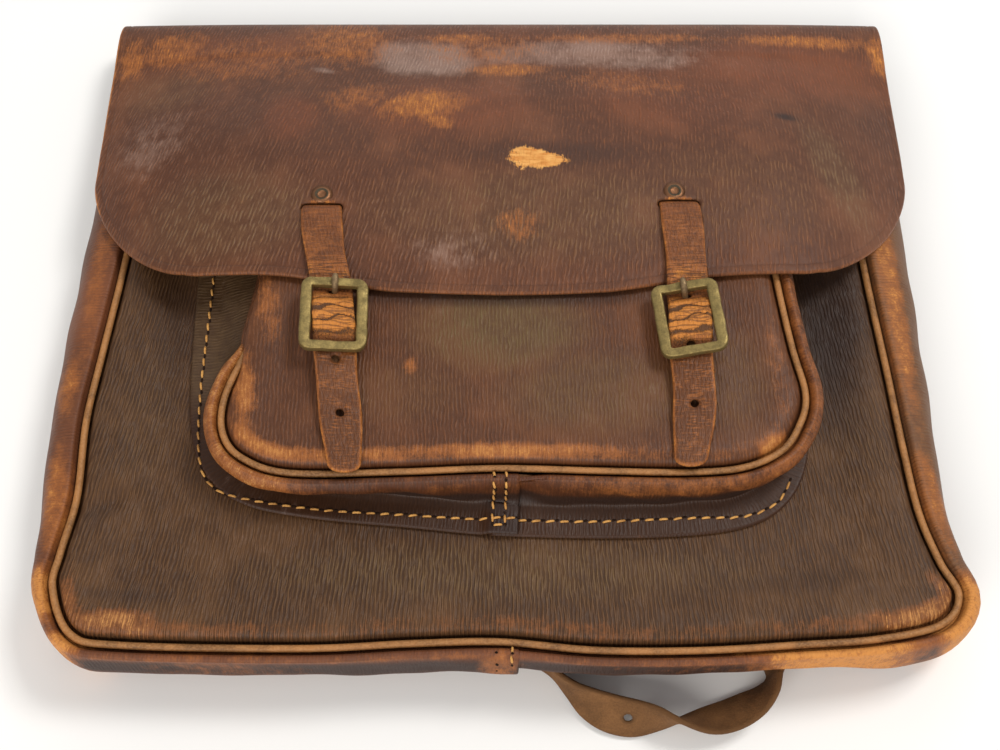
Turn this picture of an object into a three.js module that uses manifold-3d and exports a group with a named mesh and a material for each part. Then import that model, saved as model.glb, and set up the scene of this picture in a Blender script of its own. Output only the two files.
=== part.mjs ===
// A leather school satchel that lies fastened on its back, as separate solids.
// Millimetres. +Z is up from the table, +Y runs from the bottom gusset to the fold of the flap,
// and the origin is on the table under the middle of the bag.
import * as THREE from "three";
import { mergeVertices } from "three/addons/utils/BufferGeometryUtils.js";
import Module from "manifold-3d";

const wasm = await Module();
wasm.setup();

// Leather and clearances
const LEATHER = 2.4; // back, flap, front panel and gusset
const POCKET_LEATHER = 2.0;
const STRAP_LEATHER = 2.6;
const SHOULDER_LEATHER = 2.4;
const CLEARANCE = 0.35; // between pieces that touch on the real bag

// Seams: both leathers turn in beside the piping and hang inside as an allowance
const PIPING_RADIUS = 1.9;
const POCKET_PIPING_RADIUS = 1.7;
const SEAM_HALF = 1.6; // from the seam line to the middle of either allowance
const ALLOWANCE = 7.5; // how far the allowances reach inside the seam
const POCKET_ALLOWANCE = 5;
const POCKET_SCALE = 0.86; // the pocket's seam is this much finer than the body's

// Body: heights over the table and the drape of its back
const FRONT_HEIGHT = 38; // front seam along the sides
const BOTTOM_DROP = 1; // the front seam is this much lower along the bottom
const MOUTH_DROP = 9.5; // and this much lower at the mouth
const PANEL_HEIGHT = 38.6; // front panel beside the pocket
const TUCK = 16; // the back seam lies this far inside the front one at the bottom
const ARCH = 12; // the bottom of the back is lifted this far over the shoulder strap
const ARCH_SPAN = { from: -45, full: 6, falls: 126, to: 165 };
const DOME = 4.4; // the back stands clear of the table by this inside its seam

// Flap and the fold over the top
const FLAP_HALF = 189;
const FOLD_HALF = 191;
const CORNER = { wide: 52, tall: 62, round: 1.3 };
const FLAP_SIDE = 36; // height of the draped side edges
const SIDE_DROP = 7; // the side edges are this much lower at the fold
const PLATEAU = { left: 91, right: 106 }; // the level width over the pocket

// Pocket
const POCKET_SEAM = 59.5;
const POCKET_MOUTH_DROP = 6;
const POCKET_FILL = 2.6; // the pocket's front stands this far over its seam
const FLANGE = 16;

// Closing straps and buckles
const STRAP_WIDTH = 17.4;
const STRAP_TIP_WIDTH = 12.5;
const STRAP_TAPER = 25;
const HOLE_RADIUS = 1.7;
const PRONG_HOLE_RADIUS = 2.5;
const SLOT = { wide: 19.4, long: 6.6 };
const RIVET_RADIUS = 3.6;
const SHANK_RADIUS = 1.5;
const BUCKLE = { wide: 23.4, long: 30, corner: 4.2, thick: 2.2, height: 72.6 };
const BAR = { radius: 1.6, height: 68.6 };
const TAB = { width: 14, leather: 1.3, tail: 24, lift: 1 };
const PRONG_RADIUS = 1.1;

// Shoulder strap
const SHOULDER_WIDTH = 18.4;
const SHOULDER_HOLE = { x: 52.2, y: -181, radius: 1.8 };

// The body's seam line from the mouth on the left, round the bottom, to the mouth on the right,
// with how far the gusset stands out beyond it
const BODY_SEAM = [
  { x: -163.5, y: 128, bulge: 24 },
  { x: -166, y: 75, bulge: 24.5 },
  { x: -169.5, y: 18, bulge: 23 },
  { x: -173.7, y: -28, bulge: 20.6 },
  { x: -176.6, y: -62, bulge: 18.2 },
  { x: -175.8, y: -97, bulge: 18 },
  { x: -179.4, y: -121, bulge: 13 },
  { x: -180.6, y: -136, bulge: 9.6 },
  { x: -171, y: -154.8, bulge: 6.6 },
  { x: -150, y: -159.4, bulge: 5 },
  { x: -79, y: -160.7, bulge: 4.6 },
  { x: -35, y: -158.7, bulge: 5 },
  { x: 0, y: -158, bulge: 5 },
  { x: 38, y: -161.4, bulge: 4.6 },
  { x: 79, y: -161.5, bulge: 5 },
  { x: 119, y: -159.2, bulge: 5 },
  { x: 150, y: -156.9, bulge: 6 },
  { x: 176, y: -151, bulge: 7.5 },
  { x: 184.8, y: -139, bulge: 10.4 },
  { x: 179, y: -125, bulge: 12.5 },
  { x: 173.2, y: -104, bulge: 14.5 },
  { x: 170.4, y: -75, bulge: 17.2 },
  { x: 168.2, y: -40, bulge: 20 },
  { x: 164.3, y: 14, bulge: 23.6 },
  { x: 162, y: 75, bulge: 26 },
  { x: 159.5, y: 128, bulge: 26 },
];
const BODY_CORNERS = { left: 9, right: 16 }; // rows where the bottom edge starts and ends

// The pocket's seam line in the same order, with the line where its gusset meets the front panel
const POCKET_SEAM_LINE = [
  { x: -97, y: 49, footX: -119, footY: 49 },
  { x: -99, y: 20, footX: -119, footY: 20 },
  { x: -102, y: -10, footX: -118.5, footY: -10 },
  { x: -107, y: -38, footX: -117.5, footY: -38 },
  { x: -113.6, y: -62, footX: -115.5, footY: -62 },
  { x: -112, y: -78, footX: -111, footY: -77 },
  { x: -103, y: -87, footX: -100.5, footY: -86 },
  { x: -84, y: -93, footX: -82, footY: -90.5 },
  { x: -40, y: -93.5, footX: -40, footY: -95 },
  { x: 0, y: -94.8, footX: 0, footY: -98.8 },
  { x: 40, y: -97.6, footX: 40, footY: -99.8 },
  { x: 75, y: -98.7, footX: 75, footY: -99 },
  { x: 103, y: -97.8, footX: 97, footY: -95.5 },
  { x: 119, y: -90, footX: 108, footY: -88.5 },
  { x: 127, y: -77, footX: 113.5, footY: -76 },
  { x: 129, y: -62, footX: 115, footY: -60 },
  { x: 126, y: -38, footX: 115, footY: -38 },
  { x: 123.4, y: -10, footX: 115, footY: -10 },
  { x: 121, y: 20, footX: 115, footY: 20 },
  { x: 119, y: 49, footX: 115, footY: 49 },
];
const POCKET_CORNERS = { left: 7, right: 12 };

// Where the rows and columns of each panel's grid stand: rows by their rise over the bottom edge,
// columns by their inset from the sides, with more between the innermost two
const FRONT_GRID = {
  rises: [286, 220, 150, 100, 66, 42, 26, 15, 8, 3.4, 1.45, 0],
  insets: [0, 1.45, 3.4, 8, 16, 30],
  middle: 5,
};
const BACK_GRID = {
  rises: [290, 210, 140, 88, 55, 36, 20, 9, 3, 0.9, 0],
  insets: [0, 0.9, 3, 12, 32],
  middle: 4,
};
const POCKET_GRID = {
  rises: [141, 108, 78, 52, 32, 18, 9, 4.5, 2.9, 1.25, 0],
  insets: [0, 1.25, 2.9, 7, 18],
  middle: 4,
};
const FLAP_GRID = {
  insets: [0, 4, 10, 20, 36, 62],
  rows: [134, 116, 98, 80, 62], // places along y above the rounded corners
  turns: [0, 18, 36, 54, 72, 90], // degrees round the corners
};

// Section of a panel from its seam inwards: distance in and height over the seam
const ROLLED_EDGE = [
  { in: 1.6, up: -3.6 },
  { in: 3.1, up: -2.5 },
  { in: 3.95, up: -0.8 },
  { in: 4.15, up: 1.0 },
  { in: 5.1, up: 2.5 },
  { in: 7, up: 3.5 },
  { in: 10.5, up: 3.8 },
];
// The same for the back, which has no piping
const PLAIN_EDGE = [
  { in: 1.6, up: 2.6 },
  { in: 2.5, up: 0.7 },
  { in: 4.5, up: 0 },
];

// Height of the flap along its middle
const FLAP_RIDGE = [
  { y: -30, z: 65.5 },
  { y: -16, z: 66 },
  { y: 14, z: 66.6 },
  { y: 44, z: 65.6 },
  { y: 70, z: 61.6 },
  { y: 95, z: 54 },
  { y: 118, z: 45 },
  { y: 140, z: 38 },
];
// The flap's lower edge, out from its middle
const FLAP_EDGE = [
  { x: 0, y: -16 },
  { x: 47, y: -14.3 },
  { x: 66, y: -11.4 },
  { x: 85, y: -7.8 },
  { x: 103, y: -6 },
  { x: 120, y: -5 },
  { x: 137, y: -2.6 },
  { x: 192, y: 9 },
];
// The fold from the top of the back to the top of the flap
const FOLD = [
  { y: 140, z: 5.2, side: 3.4, half: 166 },
  { y: 152, z: 3.6, side: 3.2, half: 181 },
  { y: 161, z: 6.4, side: 6, half: 188 },
  { y: 166.2, z: 13, side: 12.4, half: 190.5 },
  { y: 166.4, z: 21, side: 20, half: 191 },
  { y: 162, z: 28, side: 26.4, half: 191 },
  { y: 152, z: 33.4, side: 29.6, half: 191 },
];

// The closing straps from the riveted end under the flap to the tip, and their buckles
const CLOSING = {
  left: {
    rivet: { x: -78.3, y: 34.2 },
    slot: { x: -78, y: 27.8 },
    buckle: { x: -69.6, y: -28.8, turn: 3, roll: 7 },
    drift: [
      { y: 46, x: -78.6 },
      { y: 28, x: -78 },
      { y: 8, x: -75.8 },
      { y: -10, x: -72 },
      { y: -29, x: -69.2 },
      { y: -48, x: -67.8 },
      { y: -68, x: -65.3 },
      { y: -98, x: -62 },
    ],
    holes: [-47.7, -71.2],
    end: -97.4,
  },
  right: {
    rivet: { x: 76.7, y: 35.8 },
    slot: { x: 78.3, y: 29.4 },
    buckle: { x: 79.3, y: -30.6, turn: 2, roll: -9 },
    drift: [
      { y: 46, x: 77.6 },
      { y: 28, x: 78.4 },
      { y: 8, x: 79.2 },
      { y: -10, x: 79.4 },
      { y: -31, x: 78.8 },
      { y: -48, x: 79 },
      { y: -68, x: 79.2 },
      { y: -98, x: 76 },
    ],
    holes: [-41.4, -67.2],
    end: -94.8,
  },
};

// The shoulder strap from one riveted end on the back to the other: place, and lean from lying flat
const SHOULDER = [
  { x: -52, y: 128, lean: 0 },
  { x: -49, y: 90, lean: 0 },
  { x: -44, y: 45, lean: 0 },
  { x: -36, y: -5, lean: 0 },
  { x: -25, y: -55, lean: 0 },
  { x: -11, y: -100, lean: 0 },
  { x: -2, y: -122, lean: 3 },
  { x: 5, y: -136, lean: 10 },
  { x: 10, y: -145, lean: 20 },
  { x: 15.5, y: -153.5, lean: 42 },
  { x: 21.5, y: -162, lean: 76 },
  { x: 29, y: -169.9, lean: 80 },
  { x: 36.3, y: -175.5, lean: 62 },
  { x: 44.5, y: -179.2, lean: 47 },
  { x: 53.8, y: -181.4, lean: 48 },
  { x: 63, y: -182.2, lean: 70 },
  { x: 73, y: -183, lean: 103 },
  { x: 84.5, y: -182.4, lean: 135 },
  { x: 94.5, y: -179.9, lean: 143 },
  { x: 103.5, y: -175.5, lean: 135 },
  { x: 110, y: -170, lean: 118 },
  { x: 113.6, y: -163.2, lean: 106 },
  { x: 115, y: -154, lean: 140 },
  { x: 115, y: -145, lean: 160 },
  { x: 113.5, y: -135, lean: 171 },
  { x: 110.5, y: -121, lean: 177 },
  { x: 104, y: -98, lean: 180 },
  { x: 92, y: -55, lean: 180 },
  { x: 80, y: -5, lean: 180 },
  { x: 68, y: 45, lean: 180 },
  { x: 58, y: 90, lean: 180 },
  { x: 52, y: 128, lean: 180 },
];
const SHOULDER_RIVETS = { left: { x: -51.6, y: 122 }, right: { x: 52.8, y: 122 } };

// Leathers and brass
const finish = (color, roughness, metalness = 0) =>
  new THREE.MeshStandardMaterial({ color, roughness, metalness });
const FLAP_BROWN = finish(0x5a3c2b, 0.5);
const PANEL_BROWN = finish(0x4a3a2c, 0.6);
const GUSSET_BROWN = finish(0x633d27, 0.55);
const STRAP_BROWN = finish(0x6e4526, 0.6);
const PIPING_TAN = finish(0x9c7148, 0.6);
const SUEDE_BROWN = finish(0x5c3a1d, 0.9);
const BRASS = finish(0x837a4f, 0.45, 0.8);

// Arithmetic
const { clamp, lerp, degToRad } = THREE.MathUtils;

function smooth(from, to, value) {
  const t = clamp((value - from) / (to - from), 0, 1);
  return t * t * (3 - 2 * t);
}

// A table read between its rows, at a row number that need not be whole, on a smooth curve.
function between(rows, k) {
  const i = clamp(Math.floor(k), 0, rows.length - 2);
  const t = k - i;
  const row = (n) => rows[clamp(n, 0, rows.length - 1)];
  const [a, b, c, d] = [row(i - 1), row(i), row(i + 1), row(i + 2)];
  const read = {};
  for (const name of Object.keys(b)) {
    const bend = 2 * a[name] - 5 * b[name] + 4 * c[name] - d[name];
    const twist = 3 * b[name] - a[name] - 3 * c[name] + d[name];
    read[name] = b[name] + 0.5 * ((c[name] - a[name]) * t + bend * t * t + twist * t ** 3);
  }
  return read;
}

// A table whose rows run along y, read at a y.
function alongY(rows, y) {
  const rising = rows[1].y > rows[0].y;
  let i = rows.findIndex((row) => (rising ? row.y > y : row.y < y)) - 1;
  i = clamp(i < -1 ? rows.length - 2 : i, 0, rows.length - 2);
  const t = (y - rows[i].y) / (rows[i + 1].y - rows[i].y);
  return between(rows, i + clamp(t, 0, 1));
}

// A section table read at a distance in from the seam, on straight lines.
function sectionAt(rows, distance) {
  const i = rows.findIndex((row) => row.in > distance);
  if (i === 0) return rows[0].up;
  if (i < 0) return rows.at(-1).up;
  const t = (distance - rows[i - 1].in) / (rows[i].in - rows[i - 1].in);
  return lerp(rows[i - 1].up, rows[i].up, t);
}

// Solids from rings and grids
// A closed body through rings of equal length, capped at both ends or joined end to end.
function loft(rings, joined = false) {
  const count = rings[0].length;
  const at = (ring, i) => (ring % rings.length) * count + (i % count);
  const index = [];
  const spans = joined ? rings.length : rings.length - 1;
  for (let r = 0; r < spans; r++) {
    for (let i = 0; i < count; i++) {
      index.push(at(r, i), at(r, i + 1), at(r + 1, i + 1));
      index.push(at(r, i), at(r + 1, i + 1), at(r + 1, i));
    }
  }
  const caps = joined ? [] : [[0, true], [rings.length - 1, false]];
  for (const [ring, turned] of caps) {
    for (let i = 0; i < count / 2 - 1; i++) {
      const [a, b, c, d] = [i, i + 1, count - 2 - i, count - 1 - i].map((n) => at(ring, n));
      for (const face of b === c ? [[a, b, d]] : [[a, b, c], [a, c, d]]) {
        index.push(...(turned ? face.reverse() : face));
      }
    }
  }
  const geometry = new THREE.BufferGeometry();
  const position = rings.flat().flatMap((p) => p.toArray());
  geometry.setAttribute("position", new THREE.Float32BufferAttribute(position, 3));
  geometry.setIndex(volume(position, index) < 0 ? index.reverse() : index);
  return geometry;
}

function volume(position, index) {
  const corner = (n) => new THREE.Vector3().fromArray(position, index[n] * 3);
  let sum = 0;
  for (let n = 0; n < index.length; n += 3) {
    sum += corner(n).dot(corner(n + 1).cross(corner(n + 2))) / 6;
  }
  return sum;
}

// A wall of even thickness about a grid of points down its middle. sink says how far a place of a
// row lies behind them.
function wall(grid, thickness, sink = () => 0) {
  const rows = grid.length - 1;
  const columns = grid[0].length - 1;
  const step = (a, b) => new THREE.Vector3().subVectors(b, a);
  const rings = grid.map((row, j) => {
    const faces = row.map((point, i) => {
      const across = step(row[Math.max(0, i - 1)], row[Math.min(columns, i + 1)]);
      const along = step(grid[Math.max(0, j - 1)][i], grid[Math.min(rows, j + 1)][i]);
      const normal = across.cross(along).normalize();
      const face = (offset) => point.clone().addScaledVector(normal, offset - sink(j, i));
      return [face(thickness / 2), face(-thickness / 2)];
    });
    return [...faces.map((f) => f[0]), ...faces.map((f) => f[1]).reverse()];
  });
  return loft(rings);
}

// Rings of a section that is carried along points, each with its own two directions across it.
function carried(stations, section) {
  return stations.map(({ point, right, up }) =>
    section.map(([a, b]) => point.clone().addScaledVector(right, a).addScaledVector(up, b)));
}

function roundSection(radius, sides, squash = 1) {
  return Array.from({ length: sides }, (_, i) => {
    const angle = ((i + 0.5) / sides) * 2 * Math.PI;
    return [radius * Math.cos(angle), radius * squash * Math.sin(angle)];
  });
}

// Joins and cuts
function solid(geometry) {
  const bare = geometry.clone();
  for (const name of ["normal", "uv"]) bare.deleteAttribute(name);
  const merged = mergeVertices(bare, 1e-4);
  return new wasm.Manifold(new wasm.Mesh({
    numProp: 3,
    vertProperties: new Float32Array(merged.attributes.position.array),
    triVerts: new Uint32Array(merged.index.array),
  }));
}

function fromSolid(made) {
  const mesh = made.getMesh();
  const geometry = new THREE.BufferGeometry();
  geometry.setAttribute("position", new THREE.Float32BufferAttribute(mesh.vertProperties, 3));
  geometry.setIndex([...mesh.triVerts]);
  return geometry;
}

const cut = (geometry, ...tools) =>
  fromSolid(tools.reduce((left, tool) => left.subtract(solid(tool)), solid(geometry)));
const join = (...pieces) => fromSolid(pieces.map(solid).reduce((a, b) => a.add(b)));

// An upright punch for a round hole, and a square one.
function punch(x, y, radius, low, high) {
  const tool = new THREE.CylinderGeometry(radius, radius, high - low, 8);
  return tool.rotateX(Math.PI / 2).translate(x, y, (low + high) / 2);
}

function chisel(x, y, wide, long, low, high) {
  return new THREE.BoxGeometry(wide, long, high - low).translate(x, y, (low + high) / 2);
}

// Seam lines
// A U-shaped line through a table, with the direction out of the bag at each place.
function seamLine(rows) {
  const at = (k) => {
    const place = between(rows, k);
    const ahead = between(rows, Math.min(k + 0.05, rows.length - 1));
    const behind = between(rows, Math.max(k - 0.05, 0));
    const run = Math.hypot(ahead.x - behind.x, ahead.y - behind.y);
    const out = { x: (ahead.y - behind.y) / run, y: (behind.x - ahead.x) / run };
    return { ...place, out };
  };
  return { at, last: rows.length - 1 };
}

function beside(place, distance) {
  return { x: place.x + place.out.x * distance, y: place.y + place.out.y * distance };
}

// How far a place in plan lies from a line that is given by points.
function distanceTo(line, x, y) {
  let least = Infinity;
  for (let n = 1; n < line.length; n++) {
    const [a, b] = [line[n - 1], line[n]];
    const run = { x: b.x - a.x, y: b.y - a.y };
    const t = ((x - a.x) * run.x + (y - a.y) * run.y) / (run.x ** 2 + run.y ** 2);
    const on = clamp(t, 0, 1);
    least = Math.min(least, Math.hypot(x - a.x - run.x * on, y - a.y - run.y * on));
  }
  return least;
}

const pointsOf = (edge, last, steps) =>
  Array.from({ length: steps + 1 }, (_, n) => edge((last * n) / steps));

// Panels inside a seam
// The grid of a panel whose left, bottom and right edges lie on an edge line. Rows stand at given
// rises over the bottom edge, columns at given insets from the sides with more between them, and
// the outermost column and row are the allowance that hangs inside.
function panelGrid({ edge, last, corners, rises, insets, middle, height, allowance }) {
  const corner = { left: edge(corners.left), right: edge(corners.right) };
  const sideAt = (from, to, y) => {
    let [low, high] = [from, to];
    for (let n = 0; n < 40; n++) {
      const half = (low + high) / 2;
      if (edge(half).y > y) low = half;
      else high = half;
    }
    return edge((low + high) / 2);
  };
  const bottom = pointsOf((k) => edge(corners.left + k), corners.right - corners.left, 60);
  const dip = (x) => {
    const beyond = bottom.findIndex((p) => p.x > x);
    const n = beyond < 0 ? bottom.length - 1 : Math.max(1, beyond);
    const t = clamp((x - bottom[n - 1].x) / (bottom[n].x - bottom[n - 1].x), 0, 1);
    const share = clamp((x - corner.left.x) / (corner.right.x - corner.left.x), 0, 1);
    return lerp(bottom[n - 1].y, bottom[n].y, t) - lerp(corner.left.y, corner.right.y, share);
  };
  const rowAt = (rise) => {
    const left = sideAt(0, corners.left, corner.left.y + rise);
    const right = sideAt(last, corners.right, corner.right.y + rise);
    const inner = { from: left.x + insets.at(-1), to: right.x - insets.at(-1) };
    const xs = [...insets.map((inset) => left.x + inset)];
    for (let n = 1; n <= middle; n++) xs.push(lerp(inner.from, inner.to, n / (middle + 1)));
    xs.push(...insets.map((inset) => right.x - inset).reverse());
    const sag = 1 - smooth(0, 60, rise);
    return xs.map((x) => {
      const share = clamp((x - left.x) / (right.x - left.x), 0, 1);
      return { x, y: lerp(left.y, right.y, share) + dip(x) * sag };
    });
  };
  const inner = rises.map(rowAt);
  const foot = inner.length - 1;
  const side = inner[0].length - 1;
  const part = (a, b, t) => ({ x: lerp(a.x, b.x, t), y: lerp(a.y, b.y, t) });
  const hung = (p) => new THREE.Vector3(p.x, p.y, allowance(p.x, p.y));
  const grid = inner.map((row, j) => {
    const ends = j < foot
      ? [row[0], row[side]]
      : [part(row[0], inner[j - 1][0], 0.35), part(row[side], inner[j - 1][side], 0.35)];
    const shown = row.map((p) => new THREE.Vector3(p.x, p.y, height(p.x, p.y)));
    return [hung(ends[0]), ...shown, hung(ends[1])];
  });
  const low = inner[foot];
  const lowest = low.map((p, i) => {
    if (i === 0) return part(p, low[1], 0.35);
    return i === side ? part(p, low[side - 1], 0.35) : p;
  });
  grid.push([low[0], ...lowest, low[side]].map(hung));
  return grid;
}

// The body
const bodySeam = seamLine(BODY_SEAM);
const frontSeam = (y) =>
  FRONT_HEIGHT - BOTTOM_DROP * smooth(-100, -155, y) - MOUTH_DROP * smooth(15, 128, y);
const tuckAt = ({ x, y }) =>
  TUCK * smooth(-112, -155, y) * (1 - 0.62 * smooth(128, 172, Math.abs(x)));
const archAt = (x, y) => {
  const across = smooth(ARCH_SPAN.from, ARCH_SPAN.full, x);
  return ARCH * across * (1 - smooth(ARCH_SPAN.falls, ARCH_SPAN.to, x)) * smooth(-95, -145, y);
};
const bodyLine = pointsOf((k) => bodySeam.at(k), bodySeam.last, 160);
const backSeam = (k) => {
  const place = bodySeam.at(k);
  return beside(place, -tuckAt(place));
};
const backLine = pointsOf(backSeam, bodySeam.last, 160);

// Middle of the front panel's wall.
function frontHeight(x, y) {
  const distance = distanceTo(bodyLine, x, y);
  const rim = frontSeam(y) + sectionAt(ROLLED_EDGE, distance);
  const level = PANEL_HEIGHT - MOUTH_DROP * smooth(15, 128, y);
  return lerp(rim, level, smooth(8, 34, distance));
}

function frontPanel() {
  return wall(panelGrid({
    edge: (k) => beside(bodySeam.at(k), -SEAM_HALF),
    last: bodySeam.last,
    corners: BODY_CORNERS,
    ...FRONT_GRID,
    height: frontHeight,
    allowance: (x, y) => frontSeam(y) - ALLOWANCE,
  }), LEATHER);
}

// Section of the gusset from the front seam to the back seam: out from the seam line, and height.
// Where the other half laps over it, it stops short of both seams.
function gussetSection(place, lapped) {
  const front = frontSeam(place.y);
  const back = archAt(place.x, place.y) + LEATHER / 2;
  const tuck = tuckAt(place);
  const crest = { out: 5, up: front + 2 };
  const tip = lerp(back, front, 0.5);
  const foot = 4.5 - tuck;
  const slope = 1 + (0.8 * tuck) / TUCK;
  const seam = [{ out: SEAM_HALF + CLEARANCE, up: front - ALLOWANCE }];
  for (const n of [0, 1, 3]) seam.push({ out: ROLLED_EDGE[n].in, up: front + ROLLED_EDGE[n].up });
  const face = [90, 58, 28, 0].map(degToRad).map((angle) => ({
    out: lerp(crest.out, place.bulge, Math.cos(angle)),
    up: lerp(tip, crest.up, Math.sin(angle)),
  }));
  const under = [30, 60, 90].map(degToRad).map((angle) => ({
    out: lerp(foot, place.bulge, Math.max(0, Math.cos(angle)) ** slope),
    up: lerp(tip, back, Math.sin(angle) ** slope),
  }));
  const whole = [...seam, ...face.slice(0, 3)];
  const end = { out: lerp(face[3].out, face[2].out, 0.4), up: front - ALLOWANCE - 1.5 };
  const short = whole.map((_, n) => ({
    out: lerp(end.out, face[3].out, n / 7.5),
    up: lerp(end.up, face[3].up, n / 7.5),
  }));
  const shown = whole.map((row, n) => ({
    out: lerp(row.out, short[n].out, lapped),
    up: lerp(row.up, short[n].up, lapped),
  }));
  const turned = [
    under[2],
    { out: PLAIN_EDGE[1].in - tuck, up: back + PLAIN_EDGE[1].up },
    { out: SEAM_HALF + 2 * CLEARANCE - tuck, up: back + ALLOWANCE - 1 },
  ].map((row, n) => ({
    out: lerp(row.out, lerp(under[1].out, under[2].out, (n + 1) / 6), lapped),
    up: lerp(row.up, lerp(under[1].up, under[2].up, (n + 1) / 6), lapped),
  }));
  return [...shown, face[3], under[0], under[1], ...turned];
}

// One half of the gusset. The halves lap at the middle of the bottom, the left one outside.
function gussetHalf(stations, lap) {
  const grid = stations.map((k) => {
    const place = bodySeam.at(k);
    return gussetSection(place, lap(k)).map(({ out, up }) => {
      const at = beside(place, out);
      return new THREE.Vector3(at.x, at.y, up);
    });
  });
  return wall(grid, LEATHER, (j) => (LEATHER + 2.5 * CLEARANCE) * lap(stations[j]));
}

const LAP = { from: 11.8, to: 12.22, clear: 12.35, level: 12.8 }; // row numbers of BODY_SEAM
const SIDE_STEPS = [0, 1, 2, 3, 4, 5, 6, 6.6, 7.2, 7.7, 8.2, 8.7, 9.2, 10];
const lapped = (k) => 1 - smooth(LAP.clear, LAP.level, k);
const leftStations = [...SIDE_STEPS, 10.6, 11.2, LAP.from, LAP.to];
const rightStations = [LAP.from, LAP.to, LAP.clear, 12.57, LAP.level, 13.5, 14.3];
rightStations.push(...SIDE_STEPS.map((k) => bodySeam.last - k).reverse());

// A cord along a seam line at the seam's height.
function piping(line, stations, height, radius) {
  const up = new THREE.Vector3(0, 0, 1);
  const rings = carried(stations.map((k) => {
    const place = line.at(k);
    const right = new THREE.Vector3(place.out.x, place.out.y, 0);
    return { point: new THREE.Vector3(place.x, place.y, height(place.y)), right, up };
  }), roundSection(radius, 6));
  return loft(rings);
}

// Back and flap, cut as one piece
function crown(x) {
  const level = x < 0 ? PLATEAU.left : PLATEAU.right;
  const t = clamp((Math.abs(x) - level) / (FLAP_HALF - level), 0, 1);
  return Math.cos((Math.PI / 2) * t ** 1.2);
}

// Middle of the flap's wall.
function flapHeight(x, y) {
  const side = FLAP_SIDE - SIDE_DROP * smooth(70, 150, y);
  return lerp(side, alongY(FLAP_RIDGE, y).z, crown(x));
}

// How much higher the flap's edge is at a place than at its middle.
function bowAt(x) {
  const n = clamp(FLAP_EDGE.findIndex((row) => row.x > Math.abs(x)), 1, FLAP_EDGE.length - 1);
  const t = (Math.abs(x) - FLAP_EDGE[n - 1].x) / (FLAP_EDGE[n].x - FLAP_EDGE[n - 1].x);
  return between(FLAP_EDGE, n - 1 + t).y - FLAP_EDGE[0].y;
}

// Middle of the back's wall.
function backHeight(x, y) {
  const distance = distanceTo(backLine, x, y);
  const under = archAt(x, y) + DOME * smooth(5, 42, distance);
  return under + LEATHER / 2 + sectionAt(PLAIN_EDGE, distance);
}

function backAndFlap() {
  const back = panelGrid({
    edge: (k) => {
      const place = bodySeam.at(k);
      return beside(place, -tuckAt(place) - SEAM_HALF);
    },
    last: bodySeam.last,
    corners: BODY_CORNERS,
    ...BACK_GRID,
    height: backHeight,
    allowance: (x, y) => archAt(x, y) + LEATHER / 2 + ALLOWANCE - 1,
  });
  const across = (half) => {
    const outer = FLAP_GRID.insets.map((inset) => half - inset);
    const spans = BACK_GRID.middle + 1;
    const inner = pointsOf((share) => lerp(-outer.at(-1), outer.at(-1), share), 1, spans);
    return [...outer.map((x) => -x), ...inner.slice(1, spans), ...outer.reverse()];
  };
  const fold = FOLD.map(({ y, z, side, half }) =>
    across(half).map((x) => new THREE.Vector3(x, y, lerp(side, z, crown((x / half) * FLAP_HALF)))));
  const flapAt = (y, half, share) => across(half).map((x) => {
    const at = y + bowAt(x) * share;
    return new THREE.Vector3(x, at, flapHeight(x, at));
  });
  const plain = FLAP_GRID.rows.map((y) => {
    const half = lerp(FLAP_HALF, FOLD_HALF, smooth(60, 150, y));
    return flapAt(y, half, 0.5 * smooth(110, 50, y));
  });
  const turn = FLAP_HALF - CORNER.wide;
  const rounded = FLAP_GRID.turns.map(degToRad).map((angle) => {
    const half = turn + CORNER.wide * Math.max(0, Math.cos(angle)) ** CORNER.round;
    const end = FLAP_EDGE[0].y + bowAt(turn) + CORNER.tall * (1 - Math.sin(angle) ** CORNER.round);
    const share = lerp(0.5, 1, Math.sin(angle));
    return flapAt(end - bowAt(half) * share, half, share);
  });
  const cutters = Object.values(CLOSING).flatMap(({ rivet, slot }) => [
    punch(rivet.x, rivet.y, SHANK_RADIUS + CLEARANCE, 55, 75),
    chisel(slot.x, slot.y, SLOT.wide, SLOT.long, 55, 75),
  ]);
  for (const { x, y } of Object.values(SHOULDER_RIVETS)) {
    cutters.push(punch(x, y, SHANK_RADIUS + CLEARANCE, 0, 15));
  }
  return cut(wall([...back.reverse(), ...fold, ...plain, ...rounded], LEATHER), ...cutters);
}

// The pocket
const pocketSeam = seamLine(POCKET_SEAM_LINE);
const pocketSeamHeight = (y) => POCKET_SEAM - POCKET_MOUTH_DROP * smooth(-5, 49, y);
const pocketLine = pointsOf((k) => pocketSeam.at(k), pocketSeam.last, 120);
const footLine = seamLine(POCKET_SEAM_LINE.map(({ footX, footY }) => ({ x: footX, y: footY })));

// Middle of the pocket front's wall.
function pocketHeight(x, y) {
  const distance = distanceTo(pocketLine, x, y);
  const rim = pocketSeamHeight(y) + sectionAt(ROLLED_EDGE, distance / POCKET_SCALE) * POCKET_SCALE;
  return lerp(rim, pocketSeamHeight(y) + POCKET_FILL, smooth(8, 26, distance));
}

function pocketPanel() {
  return wall(panelGrid({
    edge: (k) => beside(pocketSeam.at(k), -SEAM_HALF * POCKET_SCALE),
    last: pocketSeam.last,
    corners: POCKET_CORNERS,
    ...POCKET_GRID,
    height: pocketHeight,
    allowance: (x, y) => pocketSeamHeight(y) - POCKET_ALLOWANCE,
  }), POCKET_LEATHER);
}

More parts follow.
